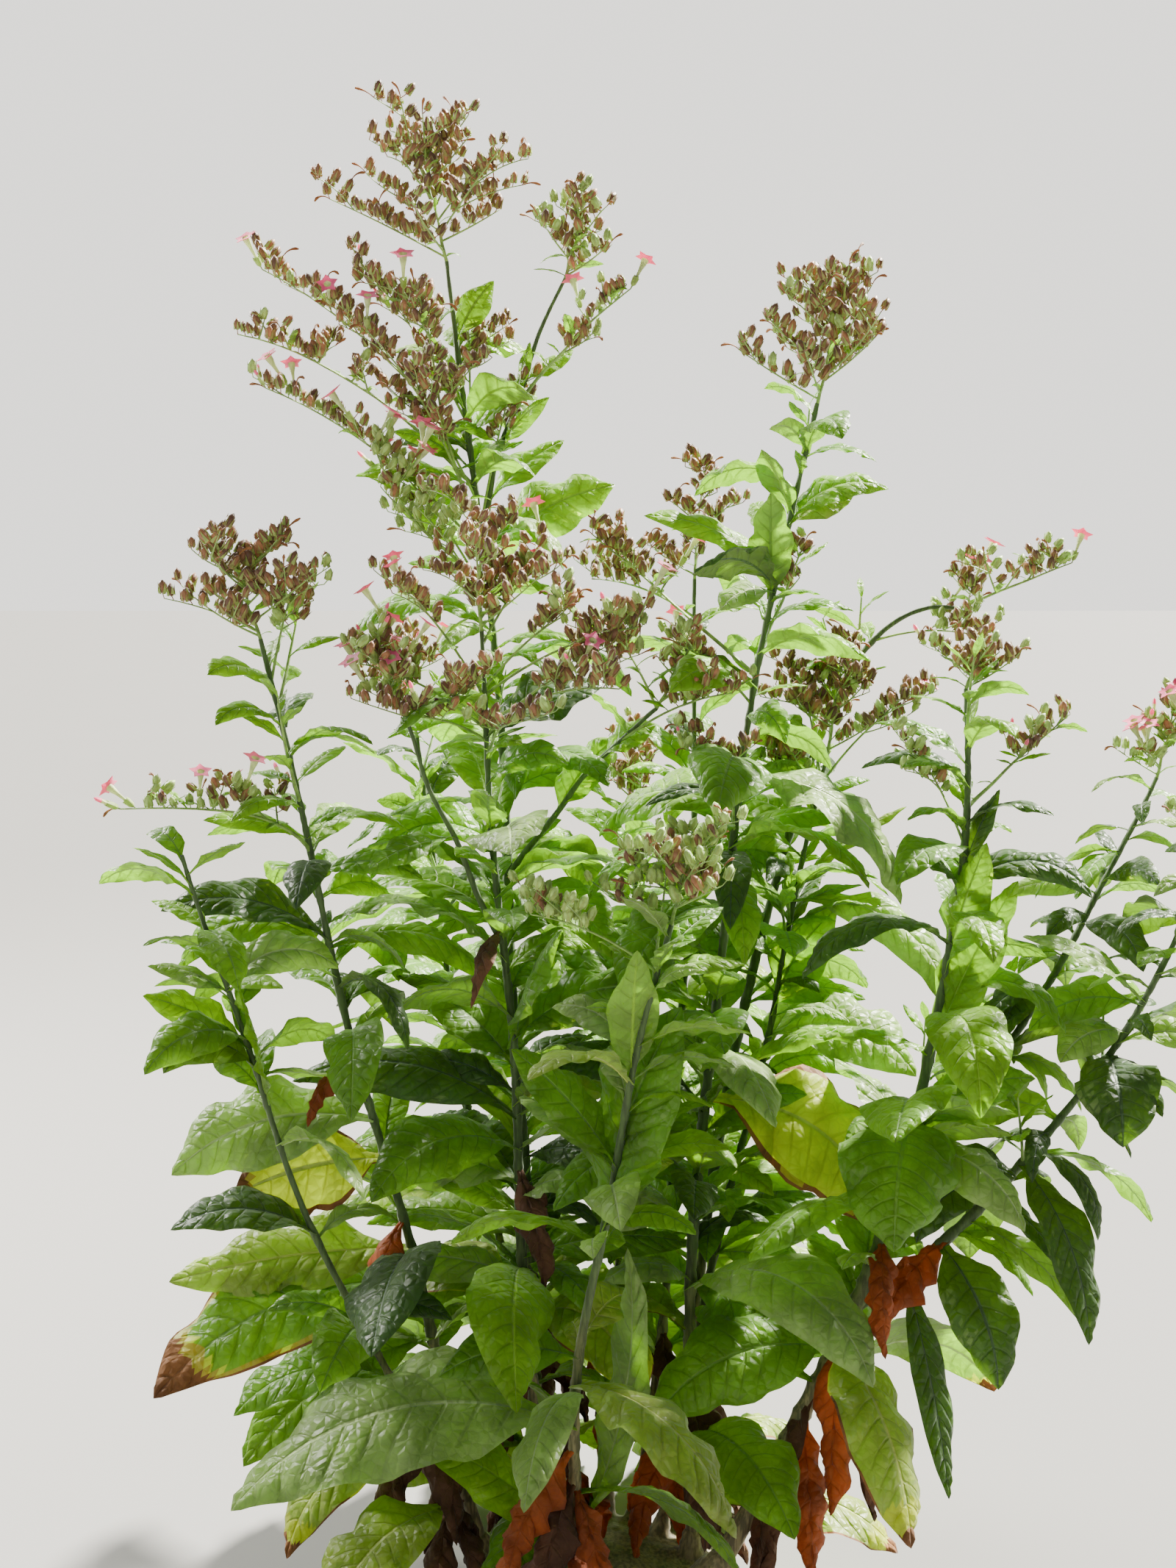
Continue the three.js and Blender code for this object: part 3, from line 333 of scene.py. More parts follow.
# More leaves, fresh ones on the boughs and dry ones that still hang: set and limb, and then height,
# heading, length, rise, droop, roll, slimness and look
MORE_LEAVES = [
    ("middle_leaves", "diagonal_bough", [
        (1285, 190, 90, 70, -20, 0, 2.2, "lime"),
        (1160, 0, 150, 65, -35, -50, 2, "lime"),
        (1250, 340, 100, 50, -10, -30, 1.6, "lime")]),
    ("middle_leaves", "middle_bough", [
        (1150, 200, 150, 0, 30, 30, 2.6, "green")]),
    ("tall_high_leaves", "upper_bough", [
        (1620, 12, 150, 52, -20, -45, 2.3, "lime"),
        (1665, 195, 120, 55, -10, 45, 2.3, "green"),
        (1690, 345, 125, 58, -25, -50, 2.3, "lime"),
        (1735, 15, 115, 48, -20, -45, 2.3, "green")]),
    ("tall_high_leaves", "tall", [
        (1540, 175, 150, 48, -5, 45, 2.5, "lime"),
        (1612, 350, 120, 55, -20, -45, 2.4, "lime"),
        (1600, 168, 130, 35, 5, 45, 2.5, "lime"),
        (1700, 185, 105, 45, 0, 45, 2.4, "lime"),
        (1775, 188, 95, 50, -10, 45, 2.4, "green")]),
    ("tall_high_leaves", "upper_bough", [
        (1760, 330, 95, 84, -66, -50, 2.4, "lime"),
        (1795, 0, 105, 40, -25, -40, 2.4, "lime"),
        (1700, 190, 90, 50, 10, 40, 2.4, "lime")]),
    ("middle_leaves", "middle", [
        (1030, 196, 185, 12, 84, 0, 2.2, "orange"),
        (650, 290, 190, -35, 88, 10, 2.6, "brown")]),
    ("left_low_leaves", "left", [
        (830, 205, 125, -20, 86, 0, 2.4, "orange"),
        (585, 235, 175, -25, 86, 20, 2.6, "orange"),
        (330, 262, 270, -30, 88, 10, 2.5, "brown"),
        (290, 215, 250, -40, 89, -20, 2.8, "brown"),
        (200, 285, 250, -5, 62, 30, 2.3, "orange")]),
    ("far_left_leaves", "far_left", [
        (170, 250, 190, -40, 88, 0, 2.6, "brown")]),
    ("front_leaves", "front", [
        (250, 235, 260, -45, 88, 10, 2.8, "brown")]),
    ("right_low_leaves", "right", [
        (430, 248, 270, -50, 89, 0, 3, "orange"),
        (390, 300, 260, -55, 89, 30, 3.2, "brown"),
        (340, 210, 280, -50, 89, -20, 3, "brown"),
        (300, 275, 240, -60, 89, 0, 2.8, "orange"),
        (260, 330, 230, -55, 89, 10, 3, "brown"),
        (215, 240, 200, -60, 88, 0, 3, "brown")]),
    ("centre_low_leaves", "right_centre", [
        (330, 262, 290, -45, 88, 0, 2.7, "brown"),
        (280, 205, 250, -50, 89, 20, 2.6, "orange")]),
]

# Dry leaves at the foot of each stem whose leaves start below this height
FOOT_LEAVES = {"below": 200, "each": 5, "heights": (70, 330), "long": (130, 250), "orange": 0.3}

# How finely a blade is cut, by its least length: shares of its half width, the number of side
# veins, the rows of each vein and how far the blade bulges at each row
BLADE_CUTS = [
    (245, (0, 0.03, 0.13, 0.3, 0.5, 0.7, 0.86, 0.95, 1), 11, (0, 0.12, 0.52), (-0.35, 0.4, 1)),
    (120, (0, 0.05, 0.25, 0.55, 0.85, 1), 8, (0, 0.12, 0.55), (-0.3, 0.35, 1)),
    (45, (0, 0.08, 0.45, 0.85, 1), 6, (0, 0.5), (-0.2, 0.8)),
    (0, (0, 0.5, 1), 5, (0,), (0,)),
]

# A blade's foot and thickness, and how a fresh and a dry one are shaped
BLADE = {"foot": 0.2, "thick": 0.7}
FRESH = {"wide": 1, "curl": (0.45, 1.35), "uneven": 0.035, "crumple": 0, "twist": 1}
DRY = {"wide": 0.92, "curl": (1.7, 2.9), "uneven": 0.14, "crumple": 0.11, "twist": 6}

# The sets at the back of the plant, whose blades skip the finest cut
COARSE_SETS = ("rear_leaves", "back_left_leaves", "back_centre_leaves")

# The finishes of a leaf's top, underside and midrib, and how it wears
GREENS = ("lime", "green", "deep", "silver", "pale")
LOOKS = {
    **{green: (green, green + "_under", green + "_rib", "") for green in GREENS},
    "tipped": ("silver", "silver_under", "silver_rib", "tipped"),
    "fading": ("pale", "pale_under", "pale_rib", "fading"),
    "scorched": ("green", "green_under", "green_rib", "scorched"),
    "rimmed": ("yellow", "yellow", "pale_rib", "rimmed"),
    "orange": ("rust", "rust", "rust", "dry"),
    "brown": ("umber", "umber", "umber", "dry"),
}

# Where a leaf wears from, along it and across it, and the finishes that it then goes through
WEAR = {
    "tipped": (0.9, 0.985, ((0, "yellow"), (0.4, "brown"))),
    "fading": (0.82, 0.94, ((0, "yellow"), (0.55, "brown"))),
    "scorched": (0.76, 0.88, ((0.02, "yellow"), (0.12, "gold"), (0.3, "brown"))),
    "rimmed": (0.86, 0.87, ((0.02, "gold"), (0.24, "brown"))),
}

# How often each look comes up
# Lime, the young look, is partly painted light: a brighter green that stands for the back light
# shining through young leaves.
YOUNG_LOOKS = (("lime", 0.65), ("green", 0.35))
# Deep, most of the arching boughs' look, is partly painted shade: a darker green for leaves that hang
# in shadow.
ARCH_LOOKS = (("deep", 0.55), ("silver", 0.25), ("green", 0.2))
# Silver is partly painted sheen: the down's grey green, whitened to stand for light that the down
# reflects.
LOOKS_BY_HEIGHT = (
    (430, (("silver", 0.3), ("green", 0.3), ("pale", 0.16), ("tipped", 0.12), ("fading", 0.12))),
    (850, (("green", 0.4), ("silver", 0.24), ("lime", 0.14), ("deep", 0.12), ("pale", 0.1))),
    (math.inf, (("green", 0.46), ("lime", 0.36), ("silver", 0.1), ("deep", 0.08))),
)

# How often a fruit at a twig's end is a flower, a flower is open, a withered flower hangs on a
# twig, a ripe or an unripe capsule, and a calyx is dry
CHANCE = {"flower": 0.8, "open": 0.62, "wisp": 0.34, "ripe_wisp": 0.07, "unripe_wisp": 0.02,
          "dry_calyx": 0.5}

# The height above which fruit belongs to the upper piece, and the finishes in their order
HIGH_PANICLE = 1480
RIPE_FRUIT = ("ripe", "ripe", "ripe_dark", "ripe_tan")
FLOWER_FINISHES = ("flower_tube", "petal", "flower_tube", "calyx")
LEAF_COLOURS = (*GREENS, "yellow", "brown", "rust", "umber")
FINISH_NAMES = [
    *(green + part for green in GREENS for part in ("", "_under", "_rib")),
    "yellow", "gold", "brown", "rust", "umber", "twig", "dry_stalk", "ripe", "ripe_dark", "ripe_tan",
    "unripe", "calyx", "dry_calyx", "flower_tube", "petal", "wisp",
]
FINISH = {name: number for number, name in enumerate(FINISH_NAMES)}

# The angles up to which faces are shaded smooth, and the meshes of the stems and the root crown:
# WOOD and CROWN_FEET measure in millimetres, WOOD_MESH and CROWN_MESH in metres
SMOOTH = {"blades": 55, "wood": 60, "fruit": 40, "flowers": 50}
WOOD = {"step": 7, "knot": 7, "knot_leaf": 90, "flare": 0.5, "flare_high": 45}
WOOD_MESH = {"resolution": 5, "dent": 0.022, "deep": 1.5}
CROWN_FEET = {"high": 85, "low_wide": 3, "high_wide": 1.15, "sides": 14}
CROWN_MESH = {"weld": 0.0001, "voxel": 0.004, "soft": 0.6, "rounds": 6, "knob": 0.035,
              "grain": 0.008, "fine": 0.4, "ground": 0.0005}

# Each light: its kind, place, the point that it shines on, colour, and size, which for the sun is
# an angle in degrees
LIGHTS = {
    "back_light": ("SUN", (3.1, 2.9, 5), (0, 0, 0.9), (1, 0.96, 0.88), 5),
    "rim_light": ("AREA", (-2.9, 2.3, 3.3), (-0.2, 0, 0.7), (1, 0.97, 0.92), 1.6),
    "front_light": ("AREA", (-2.6, -3.4, 3), (0, 0, 1), (0.95, 0.97, 1), 3.5),
}
SKY_COLOUR = (0.86, 0.92, 1, 1)
BACKDROP_COLOUR = (0.96, 0.938, 0.888, 1)
CAMERA = {"tilt": 82.1, "sensor": 36, "lens": 44.56}

# The plant is kept here once it is grown
GROWN = {}


# Numbers and vectors

def mix(a, b, f):
    return a + (b - a) * f


def vec(x, y, z):
    return np.array((x, y, z), dtype=float)


def unit(v):
    return v / np.linalg.norm(v)


def smooth(low, high, x):
    """0 below low, 1 above high, and a soft step between them."""
    f = np.clip((x - low) / (high - low), 0, 1)
    return f * f * (3 - 2 * f)


class Dice:
    """A seeded run of numbers between 0 and 1, so that the plant always grows the same."""

    def __init__(self, seed):
        self.state = (seed * 7919 + 17) % 4294967296
        for _ in range(4):
            self.next()

    def next(self):
        self.state = (self.state * 1664525 + 1013904223) % 4294967296
        return self.state / 4294967296

    def range(self, low, high):
        return mix(low, high, self.next())


def dice_for(kind, number, i=0):
    first, step = SEEDS[kind]
    return Dice(first + step * number + i)


# The growth rule

class LimbPath:
    """A limb's centre line: a curve from its foot to its tip through its knee, with some sway."""

    def __init__(self, foot, knee, tip, sway, phase):
        self.foot, self.tip, self.sway, self.phase = foot, tip, sway, phase
        self.pull = knee * 2 - (foot + tip) * 0.5

    def point(self, t):
        p = self.foot * (1 - t) ** 2 + self.pull * (2 * t * (1 - t)) + self.tip * (t * t)
        swing = self.sway * math.sin(math.pi * t)
        p[0] += swing * math.sin(11 * t + self.phase)
        p[1] += swing * math.cos(9 * t + self.phase)
        return p

    def at(self, z):
        """The share of the way along at which the path is at height z."""
        low, high = 0, 1
        for _ in range(30):
            middle = (low + high) / 2
            if self.point(middle)[2] < z:
                low = middle
            else:
                high = middle
        return (low + high) / 2

    def point_at(self, z):
        return self.point(self.at(z))


class Arc:
    """A leaf's midrib or a twig: it leaves its base at its heading and rise, and then droops."""

    def __init__(self, spec, steps=LEAF_STEPS):
        self.shares = np.arange(steps + 1) / steps
        step = spec["length"] / steps
        heading, swing = spec["heading"], spec.get("swing", 0)
        rise, droop = spec["rise"], spec["droop"]

        def aim(s):
            up = np.radians(rise - (rise + droop) * s ** 1.2)
            turn = np.radians(heading + swing * s)
            return np.stack([np.cos(up) * np.cos(turn), np.cos(up) * np.sin(turn), np.sin(up)], -1)

        moves = aim(self.shares[:-1] + 0.5 / steps) * step
        self.points = spec["base"] + np.vstack([np.zeros(3), np.cumsum(moves, 0)])
        self.along = aim(self.shares)
        turn = np.radians(heading + swing * self.shares)
        side = np.stack([np.sin(turn), -np.cos(turn), np.zeros(steps + 1)], -1)
        over = np.cross(side, self.along)
        rolled = np.radians(spec.get("roll", 0) * np.minimum(1, self.shares / 0.35))[:, None]
        self.side = side * np.cos(rolled) + over * np.sin(rolled)
        self.over = over * np.cos(rolled) - side * np.sin(rolled)

    def at(self, values, s):
        """One of the arc's rows of vectors, read at the shares s."""
        return np.stack([np.interp(s, self.shares, values[:, i]) for i in range(3)], -1)


class Line(Arc):
    """A line of points that can carry fruit as an arc does."""

    def __init__(self, points):
        self.shares = np.arange(len(points)) / (len(points) - 1)
        self.points = np.array(points)
        along = np.gradient(self.points, axis=0)
        self.along = along / np.linalg.norm(along, axis=1)[:, None]
        side = np.cross(self.along, (0, 0, 1))
        self.side = side / np.linalg.norm(side, axis=1)[:, None]
        self.over = np.cross(self.side, self.along)


class Room:
    """Points with some free room round each, by owner."""

    def __init__(self):
        self.blocks = []
        self.boxes = np.zeros((MOST_BLOCKS, 7))

    def add(self, points, radius, owner):
        points = np.asarray(points, dtype=float)
        radii = np.full(len(points), float(radius)) if np.isscalar(radius) else np.asarray(radius)
        self.boxes[len(self.blocks)] = (*points.min(0), *points.max(0), radii.max())
        self.blocks.append((points, radii, owner))

    def free(self, points, radius, owners):
        points = np.asarray(points, dtype=float)
        low, high = points.min(0), points.max(0)
        boxes = self.boxes[:len(self.blocks)]
        reach = (radius + boxes[:, 6])[:, None]
        near = np.all((boxes[:, :3] <= high + reach) & (boxes[:, 3:6] >= low - reach), axis=1)
        for k in np.nonzero(near)[0]:
            others, radii, owner = self.blocks[k]
            if owner in owners:
                continue
            apart = ((points[:, None] - others[None]) ** 2).sum(2)
            if np.any(apart < (radius + radii) ** 2):
                return False
        return True


class Limb:
    def __init__(self, name, parent, path, radius):
        self.name, self.parent, self.path, self.radius = name, parent, path, radius

    def radius_at(self, t):
        return mix(self.radius[0], self.radius[1], t ** 0.8)


def leaf_outline(s):
    """Half the leaf's width, as a share of its greatest half width, at the share s of its length."""
    if s >= 1:
        return 0
    u = max(0, (s - PETIOLE) / (1 - PETIOLE))
    return max(math.sin(math.pi * u ** 0.86) ** 0.9 * (1 - 0.12 * u), WING * (1 - 0.4 * s))


def leaf_sections(leaf):
    """The leaf's left edge, midrib and right edge at a few places along it."""
    arc = Arc(leaf)
    fold = math.radians(leaf["fold"])
    sections = []
    for k in LONG_SECTIONS if leaf["length"] > LONG_LEAF else SHORT_SECTIONS:
        half = 0.5 * leaf["width"] * leaf_outline(k / LEAF_STEPS)
        reach = arc.side[k] * (half * math.cos(fold))
        lift = arc.over[k] * (half * math.sin(fold))
        middle = arc.points[k]
        sections.append((middle - reach + lift, middle, middle + reach + lift))
    return sections


def spread(a, b):
    steps = max(1, math.ceil(np.linalg.norm(a - b) / LEAF_NET))
    return a + (b - a) * (np.arange(steps + 1) / steps)[:, None]


def leaf_net(sections):
    """Points over the leaf, first those near its root and then those of its blade."""
    nets = [[], []]
    for i in range(1, len(sections) - 1):
        a, b = sections[i], sections[i + 1]
        rows = max(1, math.ceil(np.linalg.norm(a[1] - b[1]) / LEAF_NET))
        for r in range(rows + 1):
            left, middle, right = (mix(a[j], b[j], r / rows) for j in range(3))
            nets[0 if i == 1 else 1] += [spread(left, middle), spread(middle, right)]
    return [np.vstack(net) for net in nets]


def crown_ring(height, share, count):
    a = 2 * np.pi * np.arange(count) / count
    lobes = np.sin(CROWN["lobes"] * a + 0.8) + 0.4 * np.sin(9 * a)
    wide = share * (1 + CROWN["lobe"] * lobes)
    x, y = CROWN["wide"] * wide * np.cos(a), CROWN["deep"] * wide * np.sin(a)
    return np.stack([x, y, np.full(count, CROWN["high"] * height, dtype=float)], -1)


class Plant:
    """Everything that the rule grows: limbs, twigs with their fruit, and leaves by set."""

    def __init__(self):
        self.room = Room()
        self.limbs = {}
        for name, (foot, knee, tip, radius) in STEMS.items():
            self.add_limb(name, None, None, vec(*foot, FOOT_HEIGHT), knee, tip, radius, SWAY["stem"])
        for name, (parent, height, knee, tip, radius) in BOUGHS.items():
            self.add_limb(name, parent, height, None, knee, tip, radius, SWAY["bough"])
        for name, (parent, height, knee, tip, *_) in PANICLES.items():
            radius = AXIS_ON_TIP if height is None else AXIS_ON_SIDE
            self.add_limb(name, parent, height, None, knee, tip, radius, SWAY["axis"])
        for height, share in CROWN_NET:
            sunk = crown_ring(height, share, CROWN_ROOM["points"]) - vec(0, 0, CROWN_ROOM["sunk"])
            self.room.add(sunk, CROWN_ROOM["radius"], "root_crown")
        self.twigs = {name: self.grow_twigs(name, i) for i, name in enumerate(PANICLES)}
        self.leaves = {name: [] for name in LEAVES}
        self.grow_shown_leaves()
        self.grow_other_leaves()

    def add_limb(self, name, parent, height, foot, knee, tip, radius, sway):
        if parent:
            path = self.limbs[parent].path
            foot = path.point(1) if height is None else path.point_at(height)
        path = LimbPath(foot, vec(*knee), vec(*tip), sway, len(self.limbs) * SWAY_PHASE)
        limb = Limb(name, parent, path, radius)
        self.limbs[name] = limb
        count = math.ceil(np.linalg.norm(foot - path.tip) / LIMB_NET)
        shares = [i / count for i in range(count + 1)]
        radii = [limb.radius_at(t) + LIMB_ROOM for t in shares]
        self.room.add([path.point(t) for t in shares], radii, name)

    def grow_twigs(self, name, index):
        """A panicle's twigs, shorter towards its tip, where there is room for them."""
        parent, _, _, _, bare, reach, count, start, rise, bloom, _ = PANICLES[name]
        path = self.limbs[name].path
        grown = []
        for i in range(count):
            dice = dice_for("twig", index, i)
            share = i / (count - 1) if count > 1 else 0
            arc = Arc({
                "base": path.point(mix(bare, 0.86, share)),
                "heading": start + LEAF_TURN * i + dice.range(-12, 12),
                "rise": rise + 22 * share + dice.range(-8, 8),
                "droop": -rise - 8 - 20 * share + dice.range(-12, 12),
                "length": reach * mix(1, 0.6, share) * dice.range(0.88, 1.08),
                "swing": dice.range(-25, 25),
            })
            line = arc.points[4:]
            if not self.room.free(line, TWIG_ROOM, [name, parent]):
                continue
            self.room.add(line, TWIG_ROOM, name)
            length = np.linalg.norm(arc.points[0] - arc.points[-1])
            heads = max(1, math.floor(length / CAPSULE["gap"] + 0.5))
            for c in range(heads, 0, -1):
                k = math.floor(LEAF_STEPS * c / heads + 0.5)
                ahead = 0.9 if c == heads else 0.45
                way = 0.5 if (c + i) % 2 else -0.5
                direction = unit(arc.over[k] * 0.8 + arc.along[k] * ahead + arc.side[k] * way)
                size = FLOWER["long"] if dice.next() < bloom else CAPSULE["long"]
                head = [arc.points[k] + direction * (part * size) for part in (0.5, 0.95)]
                if c < heads and not self.room.free(head, TWIG_ROOM, [name]):
                    continue
                self.room.add(head, TWIG_ROOM, name)
            grown.append(arc)
        return grown

    def place_leaf(self, leaf, kind, owner, limb):
        """The leaf turns, tilts and shortens a little at each try until it has room."""
        step, tries, room = TRIES[kind]
        kept = self.bracts if kind == "bract" else self.leaves
        for k in range(tries):
            way = (1 if k % 2 else -1) * math.ceil((k % 9) / 2)
            tried = dict(leaf)
            tried["heading"] = leaf["heading"] + step * way
            tried["rise"] = leaf["rise"] + 0.35 * step * (k % 3 - 1) * min(1, k)
            tried["length"] = leaf["length"] * LEAF_SHRINK ** k
            tried["width"] = leaf["width"] * LEAF_SHRINK ** k
            root, blade = leaf_net(leaf_sections(tried))
            if (blade[:, 2].min() > room
                    and self.room.free(root, room, [owner + " root", owner, limb])
                    and self.room.free(blade, room, [owner + " root", limb])):
                self.room.add(root, room, owner + " root")
                self.room.add(blade, room, owner)
                kept[owner].append(tried)
                return

    def listed_leaf(self, limb, row, swing, fold):
        """A leaf of one of the tables, before it looks for its place."""
        height, heading, length, rise, droop, roll, slim, look = row
        return {"base": self.limbs[limb].path.point_at(height), "heading": heading,
                "length": length, "rise": rise, "droop": droop, "roll": roll,
                "width": length / slim, "swing": swing, "fold": fold, "look": look}

    def grow_shown_leaves(self):
        for name, (limb, *_, shown) in LEAVES.items():
            for row in shown:
                self.place_leaf(self.listed_leaf(limb, row, 8, 10), "shown", name, limb)

    def grow_other_leaves(self):
        for number, (name, spec) in enumerate(LEAVES.items()):
            limb, between, count, long, slim, start, hang, _ = spec
            path = self.limbs[limb].path
            for i in range(count):
                dice = dice_for("rule", number, i)
                share = (i + dice.range(0.2, 0.8)) / count
                length = mix(*long, share) * dice.range(0.86, 1.12)
                leaf = {"base": path.point_at(mix(*between, share)),
                        "heading": start + LEAF_TURN * i + dice.range(-14, 14), "length": length,
                        "width": length / (slim * dice.range(0.9, 1.1)),
                        "rise": mix(22, 45, share) + dice.range(-12, 14) - hang,
                        "droop": mix(66, 38, share) + dice.range(-18, 18) + hang,
                        "roll": dice.range(-42, 42), "swing": dice.range(-18, 18),
                        "fold": dice.range(6, 14)}
                self.place_leaf(leaf, "rule", name, limb)

    def grow_branches(self):
        """The long fruiting branches below the panicles."""
        self.branches = []
        t = (np.arange(LEAF_STEPS + 1) / LEAF_STEPS)[:, None]
        for limb, height, tip, bloom, ripeness in BRANCHES:
            foot, tip = self.limbs[limb].path.point_at(height), vec(*tip)
            pull = (foot + tip) / 2 + vec(0, 0, BRANCH["arch"] * np.linalg.norm(tip - foot))
            branch = Line(foot * (1 - t) ** 2 + pull * 2 * t * (1 - t) + tip * t * t)
            self.room.add(branch.points[3:], BRANCH["room"], limb)
            self.branches.append((branch, bloom, ripeness))

    def keep_in_view(self):
        """No filling leaf hangs in front of a leaf that stands out."""
        eye = vec(*EYE)
        for leaves in self.leaves.values():
            for leaf in leaves:
                if "look" not in leaf:
                    continue
                net = np.vstack(leaf_net(leaf_sections(leaf)))
                for k in range(1, IN_VIEW["steps"] + 1):
                    before = net + (eye - net) * IN_VIEW["step"] * k
                    self.room.add(before, IN_VIEW["room"], "view")

    def grow_filling_leaves(self, extra):
        """Smaller leaves in the room that is left, on the stems and on short side shoots."""
        self.shoots = {name: [] for name in LEAVES}
        for number, (name, spec) in enumerate(LEAVES.items()):
            limb, between, _, long, slim, start, hang, _ = spec
            path = self.limbs[limb].path
            count = round((between[1] - between[0]) / FILLING["gap"] * extra)
            for i in range(count):
                dice = dice_for("filling", number, i)
                share = (i + dice.range(0.1, 0.9)) / count
                height = mix(between[0] + FILLING["ends"][0], between[1] + FILLING["ends"][1], share)
                longest = FILLING["short"] if height > FILLING["high"] else FILLING["longest"]
                length = min(mix(*long, share) * dice.range(0.5, 1), longest)
                if height > FILLING["high"] and i % 2:
                    continue
                leaf = {"base": path.point_at(height), "length": length,
                        "heading": start + 60 + LEAF_TURN * i + dice.range(-20, 20),
                        "width": length / (slim * dice.range(1.05, 1.5)),
                        "rise": mix(28, 60, share) + dice.range(-18, 14) - hang,
                        "droop": mix(74, 22, share) + dice.range(-36, 18) + hang,
                        "roll": dice.range(-50, 50), "swing": dice.range(-26, 26),
                        "fold": dice.range(8, 18)}
                self.place_leaf(leaf, "filling", name, limb)
            for i in range(round((between[1] - between[0]) / SHOOT["gap"])):
                self.grow_shoot(name, limb, dice_for("shoot", number, i), between, i)

    def grow_shoot(self, name, limb, dice, between, index):
        """A side shoot from a leaf's axil, with small leaves up its length."""
        height = mix(max(between[0], SHOOT["lowest"]), between[1], dice.range(0.05, 1))
        shoot = Arc({"base": self.limbs[limb].path.point_at(height),
                     "heading": 80 + LEAF_TURN * index * 1.3,
                     "rise": dice.range(48, 64), "droop": dice.range(-80, -62),
                     "length": mix(*SHOOT["long"], dice.next()), "swing": dice.range(-20, 20)})
        line = shoot.points[4:]
        if not self.room.free(line, SHOOT["room"], [limb]):
            return
        self.room.add(line, SHOOT["room"], name + " shoot")
        self.shoots[name].append(shoot)
        length = np.linalg.norm(shoot.points[-1] - shoot.points[0])
        count = max(3, round(length / SHOOT["leaf_gap"]))
        for i in range(count):
            share = mix(0.2, 1, i / (count - 1))
            size = mix(*SHOOT["leaves"], share) * dice.range(0.8, 1.15)
            leaf = {"base": shoot.at(shoot.points, share), "heading": LEAF_TURN * i + 40 * index,
                    "length": size, "width": size / dice.range(2.4, 3.2), "rise": mix(25, 62, share),
                    "droop": mix(25, -35, share) + dice.range(-15, 15), "roll": dice.range(-30, 30),
                    "swing": dice.range(-15, 15), "fold": dice.range(10, 20), "young": True}
            self.place_leaf(leaf, "shoot", name, name + " shoot")

    def grow_more_leaves(self):
        """Leaves on the boughs, and the dry ones that hang along the feet of the stems."""
        for name, limb, rows in MORE_LEAVES:
            for row in rows:
                self.place_leaf(self.listed_leaf(limb, row, 12, 14), "more", name, limb)
        for number, (name, (limb, between, *_)) in enumerate(LEAVES.items()):
            if between[0] > FOOT_LEAVES["below"]:
                continue
            path = self.limbs[limb].path
            for i in range(FOOT_LEAVES["each"]):
                dice = dice_for("foot", number, i)
                length = dice.range(*FOOT_LEAVES["long"])
                leaf = {"base": path.point_at(dice.range(*FOOT_LEAVES["heights"])),
                        "heading": dice.range(0, 360), "length": length,
                        "width": length / dice.range(2.2, 3), "rise": dice.range(-55, -20),
                        "droop": 88, "roll": dice.range(-30, 30), "swing": dice.range(-30, 30),
                        "fold": 14,
                        "look": "orange" if dice.next() < FOOT_LEAVES["orange"] else "brown"}
                self.place_leaf(leaf, "foot", name, limb)

    def grow_fine_twigs(self):
        """More twigs round each panicle's axis, within the reach of its main ones."""
        self.fine_twigs = {name: [] for name in PANICLES}
        for number, (name, spec) in enumerate(PANICLES.items()):
            path = self.limbs[name].path
            parent, _, _, _, bare, reach, _, start, rise, _, _ = spec
            count = round(reach / FINE_TWIG["gap"])
            for i in range(count):
                dice = dice_for("fine_twig", number, i)
                share = (i + 0.5) / count
                twig = Arc({"base": path.point(mix(bare, 0.98, share)),
                            "heading": start + 70 + LEAF_TURN * i + dice.range(-15, 15),
                            "rise": rise + 25 * share + dice.range(-8, 8),
                            "droop": -rise - 8 - 20 * share + dice.range(-12, 12),
                            "length": reach * mix(0.9, 0.55, share) * dice.range(0.6, 1),
                            "swing": dice.range(-25, 25)})
                if self.room.free(twig.points[6:], FINE_TWIG["room"], [name, parent]):
                    self.room.add(twig.points[6:], FINE_TWIG["room"], name)
                    self.fine_twigs[name].append(twig)

    def grow_bracts(self):
        """Small narrow leaves along each panicle's axis, twigs and one of the branches."""
        self.bracts = {name: [] for name in PANICLES}
        for number, (name, spec) in enumerate(PANICLES.items()):
            path = self.limbs[name].path
            feet = [(path.point(t), 1) for t in BRACT["on_axis"]]
            for k, size in BRACT["on_twig"]:
                feet += [(twig.points[k], size) for twig in self.twigs[name]]
            branch = self.branches[number][0]
            feet += [(branch.points[k], 1) for k in BRACT["on_branch"]]
            for i, (base, size) in enumerate(feet):
                dice = dice_for("bract", number, i)
                length = size * dice.range(*BRACT["long"])
                leaf = {"base": base, "heading": spec[7] + LEAF_TURN * i + dice.range(-30, 30),
                        "length": length, "width": length / dice.range(3, 4.4),
                        "rise": dice.range(20, 60), "droop": dice.range(-30, 50),
                        "roll": dice.range(-35, 35), "swing": dice.range(-20, 20), "fold": 14,
                        "young": True}
                self.place_leaf(leaf, "bract", name, spec[0])


# Joined meshes

def only(piece):
    """Nothing else is selected, so that an operator acts on this piece alone."""
    bpy.ops.object.select_all(action="DESELECT")
    piece.select_set(True)
    bpy.context.view_layer.objects.active = piece


